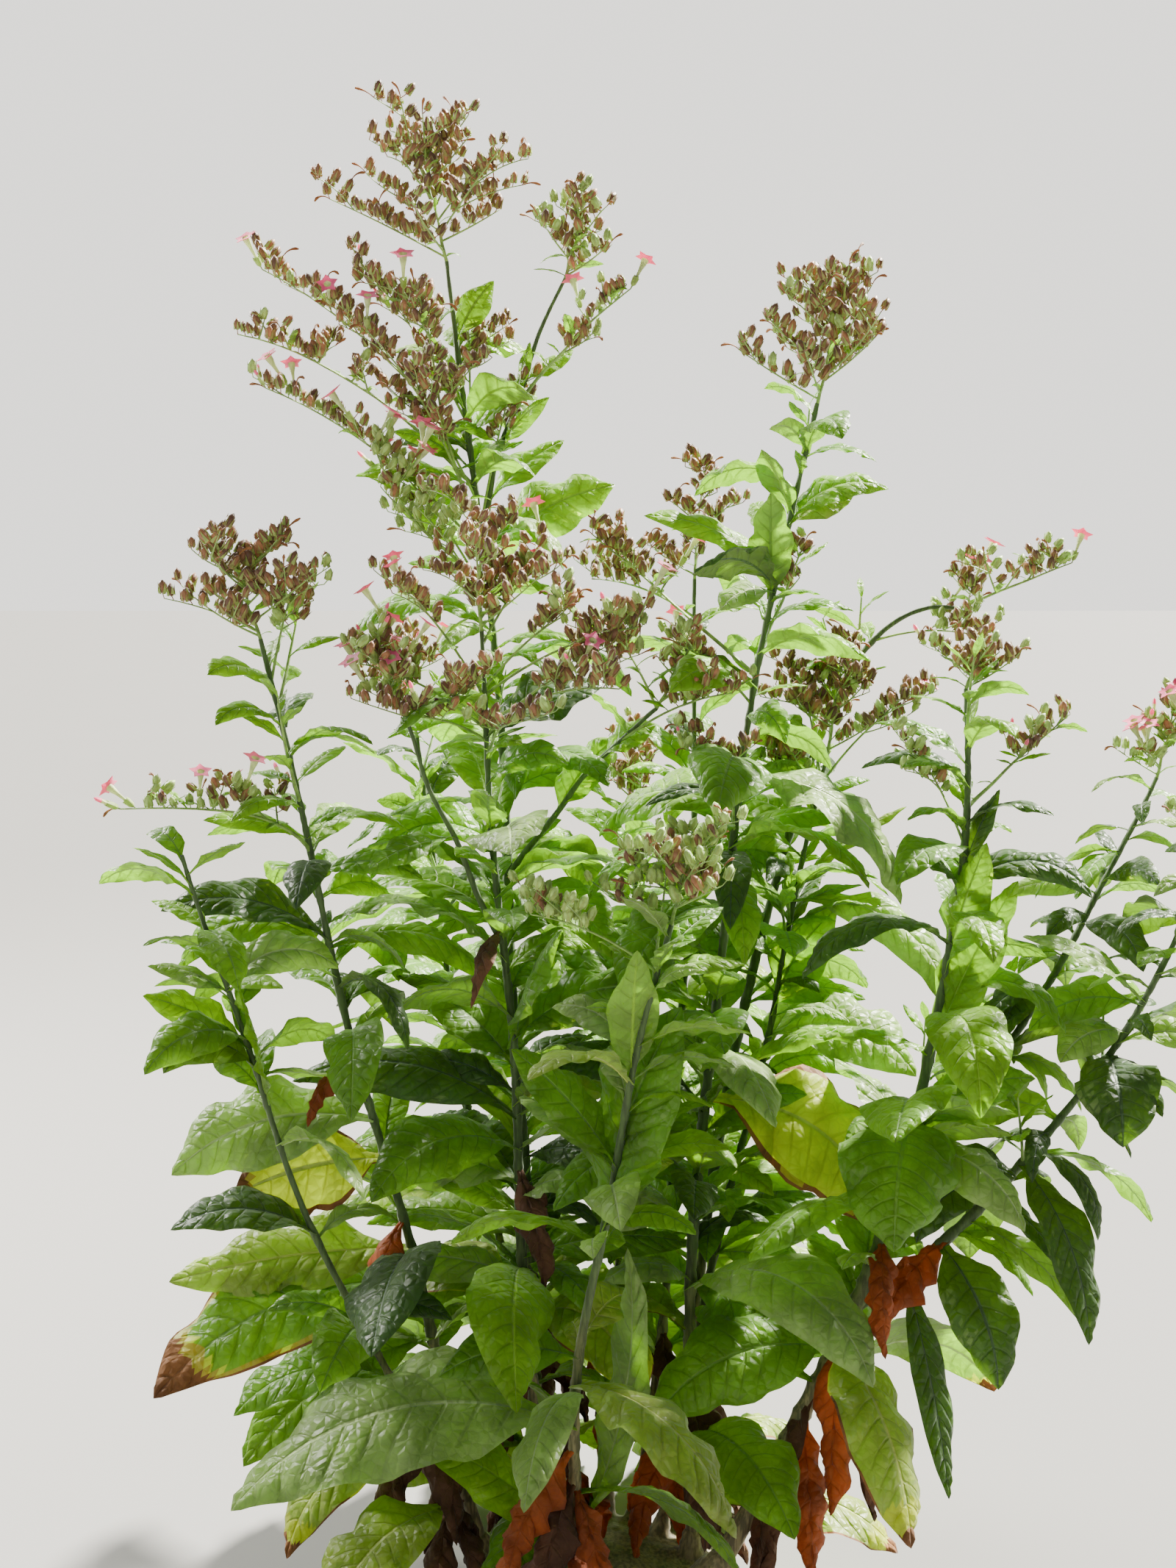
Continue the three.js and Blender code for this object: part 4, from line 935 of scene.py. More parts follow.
class Bunch:
    """Gathers closed shapes into the arrays of one joined mesh."""

    def __init__(self):
        self.points, self.faces, self.finishes, self.maps = [], [], [], []
        self.count = 0

    def add(self, points, faces, finishes, spots=None):
        self.points.append(points)
        self.faces.append(np.where(faces < 0, -1, faces + self.count))
        self.finishes.append(np.broadcast_to(finishes, len(faces)))
        self.maps.append(np.zeros((len(points), 2)) if spots is None else spots)
        self.count += len(points)

    def piece(self, name, angle):
        """The mesh as an object, with the finish that each face asks for."""
        points = np.vstack(self.points) * MM
        faces = np.vstack(self.faces)
        used, slots = np.unique(np.concatenate(self.finishes), return_inverse=True)
        corners = faces[faces >= 0].astype(np.int32)
        sides = (faces >= 0).sum(1)
        mesh = bpy.data.meshes.new(name)
        mesh.vertices.add(len(points))
        mesh.vertices.foreach_set("co", points.astype(np.float32).ravel())
        mesh.loops.add(len(corners))
        mesh.loops.foreach_set("vertex_index", corners)
        mesh.polygons.add(len(faces))
        starts = np.concatenate([[0], np.cumsum(sides)[:-1]])
        mesh.polygons.foreach_set("loop_start", starts.astype(np.int32))
        mesh.polygons.foreach_set("material_index", slots.astype(np.int32))
        spots = np.vstack(self.maps)[corners]
        mesh.uv_layers.new(name="Blade").data.foreach_set("uv", spots.astype(np.float32).ravel())
        mesh.update(calc_edges=True)
        mesh.validate()
        for number in used:
            mesh.materials.append(bpy.data.materials[FINISH_NAMES[number]])
        piece = bpy.data.objects.new(name, mesh)
        bpy.context.collection.objects.link(piece)
        only(piece)
        bpy.ops.object.shade_smooth_by_angle(angle=math.radians(angle))
        return piece


def tube(points, radii, sides):
    """A closed tube along a line of points, with a cone at each end."""
    points = np.asarray(points, dtype=float)
    radii = np.broadcast_to(radii, len(points)).astype(float)
    ahead = np.gradient(points, axis=0)
    ahead /= np.linalg.norm(ahead, axis=1)[:, None]
    across = np.eye(3)[np.argmin(np.abs(points[-1] - points[0]))]
    side = np.cross(across, ahead)
    side /= np.linalg.norm(side, axis=1)[:, None]
    over = np.cross(ahead, side)
    turn = 2 * np.pi * np.arange(sides) / sides
    around = side[:, None] * np.cos(turn)[:, None] + over[:, None] * np.sin(turn)[:, None]
    rings = points[:, None] + radii[:, None, None] * around
    ends = [points[0] - ahead[0] * radii[0] * 0.5, points[-1] + ahead[-1] * radii[-1] * 0.8]
    points = np.vstack([rings.reshape(-1, 3), *ends])
    return points, tube_faces(len(rings), sides)


def tube_faces(rings, sides):
    low = np.arange(rings * sides).reshape(rings, sides)
    beside = np.roll(low, -1, 1)
    wall = np.stack([low[:-1], beside[:-1], beside[1:], low[1:]], -1).reshape(-1, 4)
    first, last = rings * sides, rings * sides + 1
    blank = np.full(sides, -1)
    start = np.stack([np.full(sides, first), beside[0], low[0], blank], -1)
    end = np.stack([np.full(sides, last), low[-1], beside[-1], blank], -1)
    return np.vstack([wall, start, end])


# Blades

def wide_outline(s):
    """The same outline as leaf_outline, for an array, with a broader foot and a finer point."""
    u = np.clip((s - PETIOLE) / (1 - PETIOLE), 0, 1)
    blade = np.clip(np.sin(np.pi * u ** 0.84), 0, 1) ** 0.64 * (1 - 0.1 * u)
    blade *= 1 - 0.32 * smooth(0.84, 1, s)
    foot = BLADE["foot"] * (1 - 0.4 * s) * (1 - smooth(0.5, 0.9, s))
    return np.maximum(blade, foot)


def blade_faces(rows, columns):
    """The faces of a blade's top, underside, tip and foot, and how many of them are on top."""
    top = np.arange(rows * columns).reshape(rows, columns)
    under = top.copy()
    under[:, 1:-1] = rows * columns + np.arange(rows * (columns - 2)).reshape(rows, -1)
    tip = rows * columns + rows * (columns - 2)

    def sheet(grid, below):
        cells = [grid[:-1, :-1], grid[:-1, 1:], grid[1:, 1:], grid[1:, :-1]]
        point = np.full(columns - 1, tip)
        end = [grid[-1, :-1], grid[-1, 1:], point, point]
        if below:
            cells = cells[::-1]
            end = [grid[-1, :-1], point, grid[-1, 1:], grid[-1, 1:]]
        cells = np.stack(cells, -1).reshape(-1, 4)
        end = np.stack(end, -1)
        end[:, 3] = -1
        return np.vstack([cells, end])

    foot = np.stack([top[0, :-1], under[0, :-1], under[0, 1:], top[0, 1:]], -1)
    foot[0] = (top[0, 0], under[0, 1], top[0, 1], -1)
    foot[-1] = (top[0, -2], under[0, -2], top[0, -1], -1)
    upper, lower = sheet(top, False), sheet(under, True)
    return np.vstack([upper, lower, foot]), len(upper)


BLADE_FACES = {cut: blade_faces(veins * len(rows), 2 * len(across) - 1)
               for cut, (_, across, veins, rows, _) in enumerate(BLADE_CUTS)}


def deal_look(leaf, dice, arched):
    """The look of a leaf that has none of its own, by its height and its age."""
    if leaf.get("young"):
        deal = YOUNG_LOOKS
    elif arched:
        deal = ARCH_LOOKS
    else:
        height = leaf["base"][2]
        deal = next(looks for top, looks in LOOKS_BY_HEIGHT if height < top)
    chance = dice.next()
    for look, share in deal:
        chance -= share
        if chance < 0:
            return look
    return deal[0][0]


def add_blade(bunch, leaf, dice, look, sizes, first_cut=0):
    """One leaf as a thin closed blade with its veins, quilting, curl and wavy edge."""
    cut = next(k for k, (least, *_) in enumerate(BLADE_CUTS) if leaf["length"] >= least)
    cut = max(first_cut, cut)
    _, across, veins, rows, rises = BLADE_CUTS[cut]
    faces, on_top = BLADE_FACES[cut]
    top, under, rib, wear = LOOKS[look]
    dry = wear == "dry"
    habit = DRY if dry else FRESH
    arc = Arc(leaf)
    v = np.concatenate([-np.array(across[:0:-1]), across])
    a = np.abs(v)
    t = np.array([(k + row) / veins for k in range(veins) for row in rows])
    lift = np.tile(rises, veins)
    slant = np.where(v < 0, dice.range(0.13, 0.2), dice.range(0.13, 0.2))
    s = t[:, None] + slant * np.sin(np.pi * t)[:, None] * a ** 1.3
    half = 0.5 * habit["wide"] * leaf["width"] * wide_outline(s)

    # Fold along the midrib and curl of each half
    fold = math.radians(leaf["fold"] + dice.range(0, 12)) * (1 - 0.4 * s)
    curl = np.where(v < 0, dice.range(*habit["curl"]), dice.range(*habit["curl"]))
    curl = curl * (0.55 + 0.6 * s)
    slope = fold - curl * a
    x = half * (np.sin(fold) - np.sin(slope)) / curl * np.sign(v)
    z = half * (np.cos(slope) - np.cos(fold)) / curl

    # Wavy edge, quilting between the side veins and some unevenness
    wave = sizes.wave * dice.range(0.6, 1.4)
    count = dice.range(2.2, 3.6)
    phase = np.where(v < 0, dice.range(0, 6), dice.range(0, 6))
    swing = np.sin(2 * np.pi * count * s + phase)
    swing = swing + 0.3 * np.sin(2 * np.pi * 2.1 * count * s + 2 * phase)
    ripple = half * wave * a ** 2.2 * swing * smooth(0, 0.2, s)
    body = smooth(0.03, 0.3, a) * (1 - smooth(0.8, 1, a)) * smooth(0.02, 0.14, s)
    patchy = 1 + 0.5 * np.sin(31 * s + 3 * phase) * np.sin(5 * v + 17 * s)
    quilt = sizes.quilt * leaf["length"] * lift[:, None] * body * patchy
    uneven = half * habit["uneven"] * np.sin(9 * s + 4 * v + phase) * a
    crumple = half * habit["crumple"] * np.sin(33 * s + 5 * v + phase)
    ripple = ripple + quilt + (uneven + crumple)

    # The places in space
    twist = math.radians(dice.range(-14, 14) * habit["twist"]) * s ** 1.5
    middle = arc.at(arc.points, s.ravel()).reshape(*s.shape, 3)
    side = arc.at(arc.side, s.ravel()).reshape(*s.shape, 3)
    over = arc.at(arc.over, s.ravel()).reshape(*s.shape, 3)
    side, over = (side * np.cos(twist)[..., None] + over * np.sin(twist)[..., None],
                  over * np.cos(twist)[..., None] - side * np.sin(twist)[..., None])
    out = over * np.cos(slope)[..., None] - side * (np.sin(slope) * np.sign(v))[..., None]
    upper = middle + side * x[..., None] + over * z[..., None] + out * ripple[..., None]
    ridge = np.interp(a, (0, across[1], across[1] * 2.4), (1, 0.55, 0))
    thick = BLADE["thick"] + ridge * mix(sizes.rib * leaf["length"], 0.5, s)
    if len(across) > 5:
        thick = thick + 0.8 * (lift < 0)[:, None] * (1 - a)
    lower = upper - out * thick[..., None]
    upper = upper - out * (0.7 * ridge * (1 - 0.6 * s))[..., None]
    point = arc.points[-1][None]
    points = np.vstack([upper.reshape(-1, 3), lower[:, 1:-1].reshape(-1, 3), point])
    points[:, 2] = np.maximum(points[:, 2], 2)

    # The finish of each face
    along = np.concatenate([s.ravel(), s[:, 1:-1].ravel(), [1]])
    away = np.concatenate([np.tile(v, len(t)), np.tile(v[1:-1], len(t)), [0]])
    at = (along[faces[:, 0]] + along[faces[:, 2]]) / 2
    off = np.abs(away[faces[:, 0]] + away[faces[:, 2]]) / 2
    finish = np.full(len(faces), FINISH[under])
    finish[:on_top] = FINISH[top]
    if not dry and len(across) > 4:
        finish[off < across[1] * 0.6] = FINISH[rib]
    if wear in WEAR:
        tip, edge, stages = WEAR[wear]
        grain = 0.07 * np.sin(11 * at + 5 * off + phase[0]) + 0.03 * np.sin(27 * at + phase[-1])
        worn = np.maximum((at - tip) / (1 - tip), (off - edge) / (1 - edge)) + grain
        for least, name in stages:
            finish[worn > least] = FINISH[name]
    vein_count = np.concatenate([np.repeat(t, len(v)), np.repeat(t, len(v) - 2), [1]]) * veins
    bunch.add(points, faces, finish, np.stack([vein_count, away], -1))


# Fruit and flowers

class Form:
    """A small closed shape that stands on its foot and points up, to be set down many times."""

    def __init__(self, points, faces, parts):
        self.points = np.asarray(points, dtype=float)
        self.faces = np.asarray(faces)
        self.parts = np.asarray(parts)

    def joined(self, other):
        faces = np.where(other.faces < 0, -1, other.faces + len(self.points))
        return Form(np.vstack([self.points, other.points]), np.vstack([self.faces, faces]),
                    np.concatenate([self.parts, other.parts]))

    def set_down(self, bunch, foot, up, size, turn, finishes):
        """The form at its place, with the finish that each of its parts is given."""
        flat = np.eye(3)[np.argmin(np.abs(up))]
        side = unit(np.cross(flat, up))
        over = np.cross(up, side)
        ahead = side * math.cos(turn) + over * math.sin(turn)
        axes = np.stack([ahead, np.cross(up, ahead), up])
        numbers = np.array([FINISH[name] for name in finishes])
        bunch.add(foot + (self.points * size) @ axes, self.faces, numbers[self.parts])


def turned(profile, sides, bands, ends):
    """A form turned round its axis. Each ring is a height, a radius and the depth of its points."""
    turn = 2 * np.pi * np.arange(sides) / sides
    rings = []
    for height, radius, star in profile:
        wide = radius * (1 + star * np.cos(5 * turn))
        rings.append(np.stack([wide * np.cos(turn), wide * np.sin(turn), np.full(sides, height)], -1))
    low, high = profile[0][0] - ends[0], profile[-1][0] + ends[1]
    points = np.vstack([*rings, [(0, 0, low)], [(0, 0, high)]])
    parts = np.repeat([*bands, bands[0], bands[-1]], sides)
    return Form(points, tube_faces(len(profile), sides), parts)


def pointed_lobe(turn, part, low, high, radii, wide):
    """One lobe of a calyx: a thin pointed wedge that lies along the fruit."""
    inner, outer, tip = radii

    def at(angle, radius, height):
        return vec(radius * math.cos(angle), radius * math.sin(angle), height)

    points = [at(turn - wide, outer, low), at(turn + wide, outer, low), at(turn, tip, high),
              at(turn, inner, low + 0.08)]
    return Form(points, [(0, 1, 2, -1), (0, 2, 3, -1), (1, 3, 2, -1), (0, 3, 1, -1)], [part] * 4)


def capsule_form():
    """A seed capsule, 1 high: a pointed egg in the five lobes of its calyx."""
    form = turned([(0, 0.1, 0), (0.16, 0.24, 0), (0.46, 0.3, 0), (0.76, 0.2, 0)], 7,
                  (0, 0, 0), (0.02, 0.22))
    for k in range(5):
        high = 0.74 + 0.1 * (k % 2)
        form = form.joined(pointed_lobe(1.2566 * k + 0.3, 1, 0.04, high, (0.1, 0.3, 0.31), 0.42))
    return form


def flower_form():
    """An open flower, 1 long: a slim tube that widens to a five-pointed limb, in its calyx."""
    form = turned([(0.02, 0.026, 0), (0.3, 0.036, 0), (0.62, 0.06, 0), (0.8, 0.096, 0),
                   (0.94, 0.115, 0), (0.985, 0.28, 0.24), (1, 0.29, 0.26), (0.975, 0.12, 0.05),
                   (0.86, 0.07, 0)], 10, (0, 0, 0, 0, 1, 1, 1, 2), (0.02, -0.03))
    calyx = turned([(0, 0.035, 0), (0.07, 0.085, 0), (0.2, 0.1, 0), (0.33, 0.11, 0),
                    (0.3, 0.07, 0)], 10, (3, 3, 3, 3), (0.02, -0.04))
    calyx.points[31:40:2, 2] -= 0.09
    return form.joined(calyx)


def bud_form():
    """A closed bud, 1 long, in its calyx."""
    form = turned([(0.02, 0.04, 0), (0.4, 0.055, 0), (0.7, 0.09, 0), (0.88, 0.075, 0)], 6,
                  (0, 0, 1), (0.02, 0.12))
    calyx = turned([(0, 0.05, 0), (0.1, 0.12, 0), (0.34, 0.13, 0), (0.42, 0.1, 0)], 6,
                   (3, 3, 3), (0.02, -0.06))
    calyx.points[19:24:2, 2] += 0.1
    return form.joined(calyx)


class Dressing:
    """The panicles' axes and twigs, and the fruit and flowers that stand on them."""

    def __init__(self, plant, sizes):
        self.plant = plant
        self.capsule_length = sizes.capsule_length / MM
        self.capsule_gap = sizes.capsule_gap / MM
        self.flower_length = sizes.flower_length / MM
        self.wood, self.flowers = Bunch(), Bunch()
        self.upper_fruit, self.lower_fruit = Bunch(), Bunch()
        self.capsule, self.flower, self.bud = capsule_form(), flower_form(), bud_form()
        for number, name in enumerate(PANICLES):
            self.grow_panicle(number, name)
        for number, (branch, bloom, ripeness) in enumerate(plant.branches):
            dice = dice_for("branch", number)
            self.fruit = self.fruit_at(branch.points[-1][2])
            self.grow_twig(branch, dice, bloom, ripeness, BRANCH["radius"], BRANCH["bare"])
            self.grow_side_twigs(branch, dice, bloom, ripeness, BRANCH["places"], BRANCH["long"])

    def fruit_at(self, height):
        return self.upper_fruit if height > HIGH_PANICLE else self.lower_fruit

    def grow_panicle(self, number, name):
        limb = self.plant.limbs[name]
        self.fruit = self.fruit_at(limb.path.tip[2])
        bloom, ripeness = PANICLES[name][9:]
        axis = Line([limb.path.point(i / LEAF_STEPS) for i in range(LEAF_STEPS + 1)])
        self.grow_twig(axis, dice_for("axis", number), bloom, ripeness, (limb.radius[0], 1),
                       TWIG["bare_axis"])
        for i, twig in enumerate([*self.plant.twigs[name], *self.plant.fine_twigs[name]]):
            dice = dice_for("fruit", number, i)
            length = np.linalg.norm(twig.points[-1] - twig.points[0])
            self.grow_twig(twig, dice, bloom, ripeness, TWIG["radius"])
            if length > SIDE_TWIG["least"]:
                shares = [share for share in SIDE_TWIG["places"] if dice.next() < SIDE_TWIG["chance"]]
                long = [length * share for share in SIDE_TWIG["long"]]
                self.grow_side_twigs(twig, dice, bloom, ripeness, shares, long)

    def grow_side_twigs(self, twig, dice, bloom, ripeness, shares, long):
        for share in shares:
            k = round(LEAF_STEPS * share)
            way = 1 if dice.next() < 0.5 else -1
            heading = math.degrees(math.atan2(twig.along[k][1], twig.along[k][0]))
            side = Arc({"base": twig.points[k], "heading": heading + way * dice.range(32, 70),
                        "rise": dice.range(10, 48), "droop": dice.range(-45, -5),
                        "length": dice.range(*long), "swing": dice.range(-30, 30)})
            self.grow_twig(side, dice, bloom, ripeness, SIDE_TWIG["radius"])

    def grow_twig(self, arc, dice, bloom, ripeness, radius, bare=TWIG["bare"]):
        """A twig with its two rows of capsules on top, and buds and flowers towards its end."""
        radii = np.linspace(*radius, LEAF_STEPS // 2 + 1)
        self.wood.add(*tube(arc.points[::2], radii, TWIG["sides"]), FINISH["twig"])
        length = np.linalg.norm(np.diff(arc.points, axis=0), axis=1).sum()
        places = np.arange(length, bare * length, -self.capsule_gap)
        for j, place in enumerate(places):
            share = place / length
            k = min(LEAF_STEPS, round(LEAF_STEPS * share))
            foot = arc.at(arc.points, np.array([share]))[0]
            way = (1 if j % 2 else -1) * dice.range(0.45, 0.95)
            up = unit(arc.over[k] * dice.range(0.6, 1) + arc.along[k] * dice.range(0.1, 0.6)
                      + arc.side[k] * way)
            if j < 2 and dice.next() < bloom * CHANCE["flower"]:
                self.set_flower(foot, unit(up + arc.along[k] * 0.7), dice)
            else:
                ripe = ripeness - 0.35 * share + dice.range(-0.3, 0.35) > 0.3
                self.set_capsule(foot, up, dice, ripe, mix(1, 0.82, share))
        if dice.next() < CHANCE["wisp"]:
            self.set_wisp(arc.points[-1], unit(arc.along[-1] + vec(0, 0, 0.3)), dice)

    def set_capsule(self, foot, up, dice, ripe, size):
        size = self.capsule_length * size * dice.range(0.86, 1.12)
        neck = foot + unit(up + vec(0, 0, -0.2)) * dice.range(6, 11)
        up = unit(up + vec(0, 0, 0.45) + vec(dice.range(-0.2, 0.2), dice.range(-0.2, 0.2), 0))
        self.wood.add(*tube([foot, neck, neck + up * 1.5], [0.75, 0.75, 1.3], 4),
                      FINISH["dry_stalk" if ripe else "twig"])
        fruit = RIPE_FRUIT[int(dice.next() * len(RIPE_FRUIT))] if ripe else "unripe"
        calyx = "dry_calyx" if ripe and dice.next() < CHANCE["dry_calyx"] else "calyx"
        self.capsule.set_down(self.fruit, neck, up, size, dice.range(0, 6), (fruit, calyx))
        if dice.next() < CHANCE["ripe_wisp" if ripe else "unripe_wisp"]:
            self.set_wisp(neck + up * size * 0.85, up, dice)

    def set_flower(self, foot, up, dice):
        length = self.flower_length * dice.range(0.9, 1.08)
        neck = foot + up * 5
        self.wood.add(*tube([foot, neck], [0.9, 1.1], 4), FINISH["twig"])
        form = self.flower
        if dice.next() >= CHANCE["open"]:
            form = self.bud
            length *= dice.range(0.5, 0.8)
        form.set_down(self.flowers, neck, up, length, dice.range(0, 6), FLOWER_FINISHES)

    def set_wisp(self, foot, up, dice):
        """A withered flower: a thin twisted tube that ends in a ragged funnel."""
        arc = Arc({"base": foot, "heading": math.degrees(math.atan2(up[1], up[0])),
                   "rise": math.degrees(math.asin(np.clip(up[2], -1, 1))),
                   "droop": dice.range(-30, 70), "length": dice.range(16, 30),
                   "swing": dice.range(-50, 50)}, 6)
        radii = [0.7, 0.8, 1, 1.2, 1.7, 2.3, 1.4]
        self.flowers.add(*tube(arc.points, radii, 5), FINISH["wisp"])


# Finishes

def darker(colour, share):
    return tuple(c * share for c in colour)


class Finish:
    """A material in the making, with short ways to add nodes and to join them."""

    def __init__(self, name):
        material = bpy.data.materials.new(name)
        material.use_nodes = True
        self.tree = material.node_tree
        self.shader = self.tree.nodes["Principled BSDF"]
        self.place = self.add("ShaderNodeTexCoord")

    def join(self, node, **inputs):
        """Sets or links inputs of a node: i0 is its first one, and the others go by name."""
        for key, value in inputs.items():
            number = key[1:]
            socket = node.inputs[int(number) if number.isdigit() else key.replace("_", " ")]
            if isinstance(value, bpy.types.NodeSocket):
                self.tree.links.new(value, socket)
            else:
                socket.default_value = value

    def add(self, kind, settings=None, **inputs):
        node = self.tree.nodes.new(kind)
        for key, value in (settings or {}).items():
            setattr(node, key, value)
        self.join(node, **inputs)
        return node

    def combine(self, operation, a, b):
        return self.add("ShaderNodeMath", {"operation": operation}, i0=a, i1=b).outputs[0]

    def product(self, a, b):
        return self.combine("MULTIPLY", a, b)

    def rest(self, value):
        """What the value leaves of 1."""
        return self.combine("SUBTRACT", 1.0, value)

    def step(self, value, low, high):
        """0 where the value is below low, 1 above high."""
        return self.add("ShaderNodeMapRange", {"interpolation_type": "SMOOTHSTEP"},
                        Value=value, From_Min=low, From_Max=high).outputs[0]

    def noise(self, scale, detail, **inputs):
        inputs.setdefault("Vector", self.place.outputs["Object"])
        return self.add("ShaderNodeTexNoise", Scale=scale, Detail=detail, **inputs).outputs[0]

    def blend(self, amount, first, second):
        """A colour between two others."""
        first = first if isinstance(first, bpy.types.NodeSocket) else (*first, 1)
        second = second if isinstance(second, bpy.types.NodeSocket) else (*second, 1)
        node = self.add("ShaderNodeMix", {"data_type": "RGBA"}, i0=amount, i6=first, i7=second)
        return node.outputs[2]

    def tones(self, value, low, high, colour, dark, light):
        """The colour, darker where the value is low and lighter where it is high."""
        return self.blend(self.step(value, low, high), darker(colour, dark), darker(colour, light))

    def bump(self, strength, distance, height):
        node = self.add("ShaderNodeBump", Strength=strength, Distance=distance, Height=height)
        return node.outputs[0]

    def shine_through(self, share, colour, normal):
        """A share of the surface lets light through, in a colour of its own."""
        lit = self.add("ShaderNodeBsdfTranslucent", Color=colour, Normal=normal)
        both = self.add("ShaderNodeMixShader", i0=share, i1=self.shader.outputs[0], i2=lit.outputs[0])
        self.join(self.tree.nodes["Material Output"], i0=both.outputs[0])


def leaf_finish(name, colour, through, share, rough, dry=False):
    """A leaf's skin: patchy colour, veins, puckers and down, and light that shines through."""
    leaf = Finish(name)
    patches, specks = leaf.noise(14.0, 3.0), leaf.noise(160.0, 2.0)
    cells = leaf.add("ShaderNodeTexVoronoi", {"feature": "DISTANCE_TO_EDGE"},
                     Vector=leaf.place.outputs["Object"], Scale=62.0).outputs["Distance"]

    # In the blade's own map, the first value counts side veins and the second is 0 at the midrib
    split = leaf.add("ShaderNodeSeparateXYZ", Vector=leaf.place.outputs["UV"])
    part = leaf.combine("FRACT", split.outputs[0], 0.0)
    nearest = leaf.combine("MINIMUM", part, leaf.rest(part))
    away = leaf.combine("ABSOLUTE", split.outputs[1], 0.0)
    side_vein = leaf.product(leaf.rest(leaf.step(nearest, 0.02, 0.1)),
                             leaf.rest(leaf.step(away, 0.45, 0.98)))
    midrib = leaf.rest(leaf.step(away, 0.015, 0.06))
    vein = leaf.combine("MAXIMUM", side_vein, midrib)
    net = leaf.rest(leaf.step(cells, 0.0, 0.12))

    dark, light = (0.55, 1.3) if dry else (0.74, 1.2)
    mottled = leaf.tones(patches, 0.3, 0.7, colour, dark, light)
    flecks = leaf.product(leaf.step(specks, 0.52, 0.75), 0.35)
    flecked = leaf.blend(flecks, mottled, darker(colour, 0.6 if dry else 1.35))
    skin = leaf.blend(leaf.product(vein, 0.16), flecked, darker(colour, 1.4))
    heights = leaf.combine("ADD", leaf.step(cells, -0.15, 0.6), leaf.product(specks, 0.22))
    heights = leaf.combine("SUBTRACT", heights, leaf.product(vein, 0.5))
    normal = leaf.bump(0.65, 0.004, heights)
    leaf.join(leaf.shader, Base_Color=skin, Roughness=rough, Normal=normal,
              Specular_IOR_Level=0.35 if dry else 0.55, Sheen_Weight=0.1 if dry else 0.3,
              Sheen_Roughness=0.45)

    lines = leaf.combine("MAXIMUM", leaf.product(vein, 0.5), leaf.product(net, 0.22))
    glow = leaf.blend(lines, leaf.tones(patches, 0.3, 0.7, through, 0.8, 1), darker(through, 0.45))
    leaf.shine_through(share, glow, normal)


def husk_finish(name, colour, rough, through=None):
    """A small part's skin, for twigs, capsules, calyxes and flowers: mottled, with a fine grain."""
    husk = Finish(name)
    patches, grain = husk.noise(75.0, 3.0), husk.noise(520.0, 3.0, Roughness=0.6)
    mottled = husk.tones(patches, 0.32, 0.68, colour, 0.66, 1.28)
    flecks = husk.product(husk.step(grain, 0.5, 0.7), 0.3)
    skin = husk.blend(flecks, mottled, darker(colour, 1.6))
    normal = husk.bump(0.5, 0.0006, grain)
    husk.join(husk.shader, Base_Color=skin, Roughness=rough, Sheen_Weight=0.2, Normal=normal)
    if through:
        husk.shine_through(0.35, (*through, 1), normal)


def bark_finish(name, young, old, heights):
    """A stem's skin: green above, straw-brown and cracked towards the foot."""
    bark = Finish(name)
    place = bark.place.outputs["Object"]
    stretched = bark.add("ShaderNodeMapping", Vector=place, Scale=(1, 1, 0.12))
    streaks = bark.noise(210.0, 4.0, Vector=stretched.outputs[0])
    patches, pores = bark.noise(22.0, 3.0), bark.noise(600.0, 2.0)
    height = bark.add("ShaderNodeSeparateXYZ", Vector=place).outputs[2]
    shifted = bark.combine("ADD", height, bark.product(patches, 0.24))
    fresh = bark.tones(streaks, 0.35, 0.65, young, 0.7, 1.25)
    aged = bark.tones(streaks, 0.4, 0.62, old, 0.5, 1.25)
    skin = bark.blend(bark.step(shifted, *heights), aged, fresh)
    relief = bark.combine("ADD", bark.product(streaks, 0.8), bark.product(pores, 0.3))
    bark.join(bark.shader, Base_Color=skin, Roughness=0.62, Sheen_Weight=0.3,
              Normal=bark.bump(0.6, 0.0014, relief))


def floor_finish(name, colour):
    floor = Finish(name)
    tone = floor.blend(floor.noise(1.5, 4.0), darker(colour, 0.97), colour)
    floor.join(floor.shader, Base_Color=tone, Roughness=0.85)


# Settings

def colour_property(name, description, red, green, blue):
    """A colour given in steps of 0 to 255, kept as the linear values that a shader takes."""
    def linear(step):
        value = step / 255
        return value / 12.92 if value <= 0.04045 else ((value + 0.055) / 1.055) ** 2.4

    return FloatVectorProperty(name=name, description=description, subtype="COLOR", size=3,
                               min=0, max=1, default=(linear(red), linear(green), linear(blue)))


class TobaccoStemSettings(PropertyGroup):
    swelling: FloatProperty(name="Swelling", description="How much a stem thickens at a leaf",
                            default=0.24, min=0, max=1, subtype="FACTOR")
    relief: FloatProperty(name="Relief", description="Depth of the dents and ribs along the stems",
                          default=0.0011, min=0, max=0.004, unit="LENGTH", precision=4)
    crown_relief: FloatProperty(name="Crown relief",
                                description="Depth of the knobs on the root crown",
                                default=0.009, min=0, max=0.02, unit="LENGTH", precision=3)
    # Besides the real change from green to straw, the green stem colour is kept dark as painted shade,
    # and the old stem colour is lightened as painted light.
    young_colour: colour_property("Green stem", "Colour of the stems above", 66, 90, 40)
    old_colour: colour_property("Old stem", "Colour of the stems near the ground", 150, 136, 96)
    twig_colour: colour_property("Twig", "Colour of the panicles' twigs", 132, 164, 80)


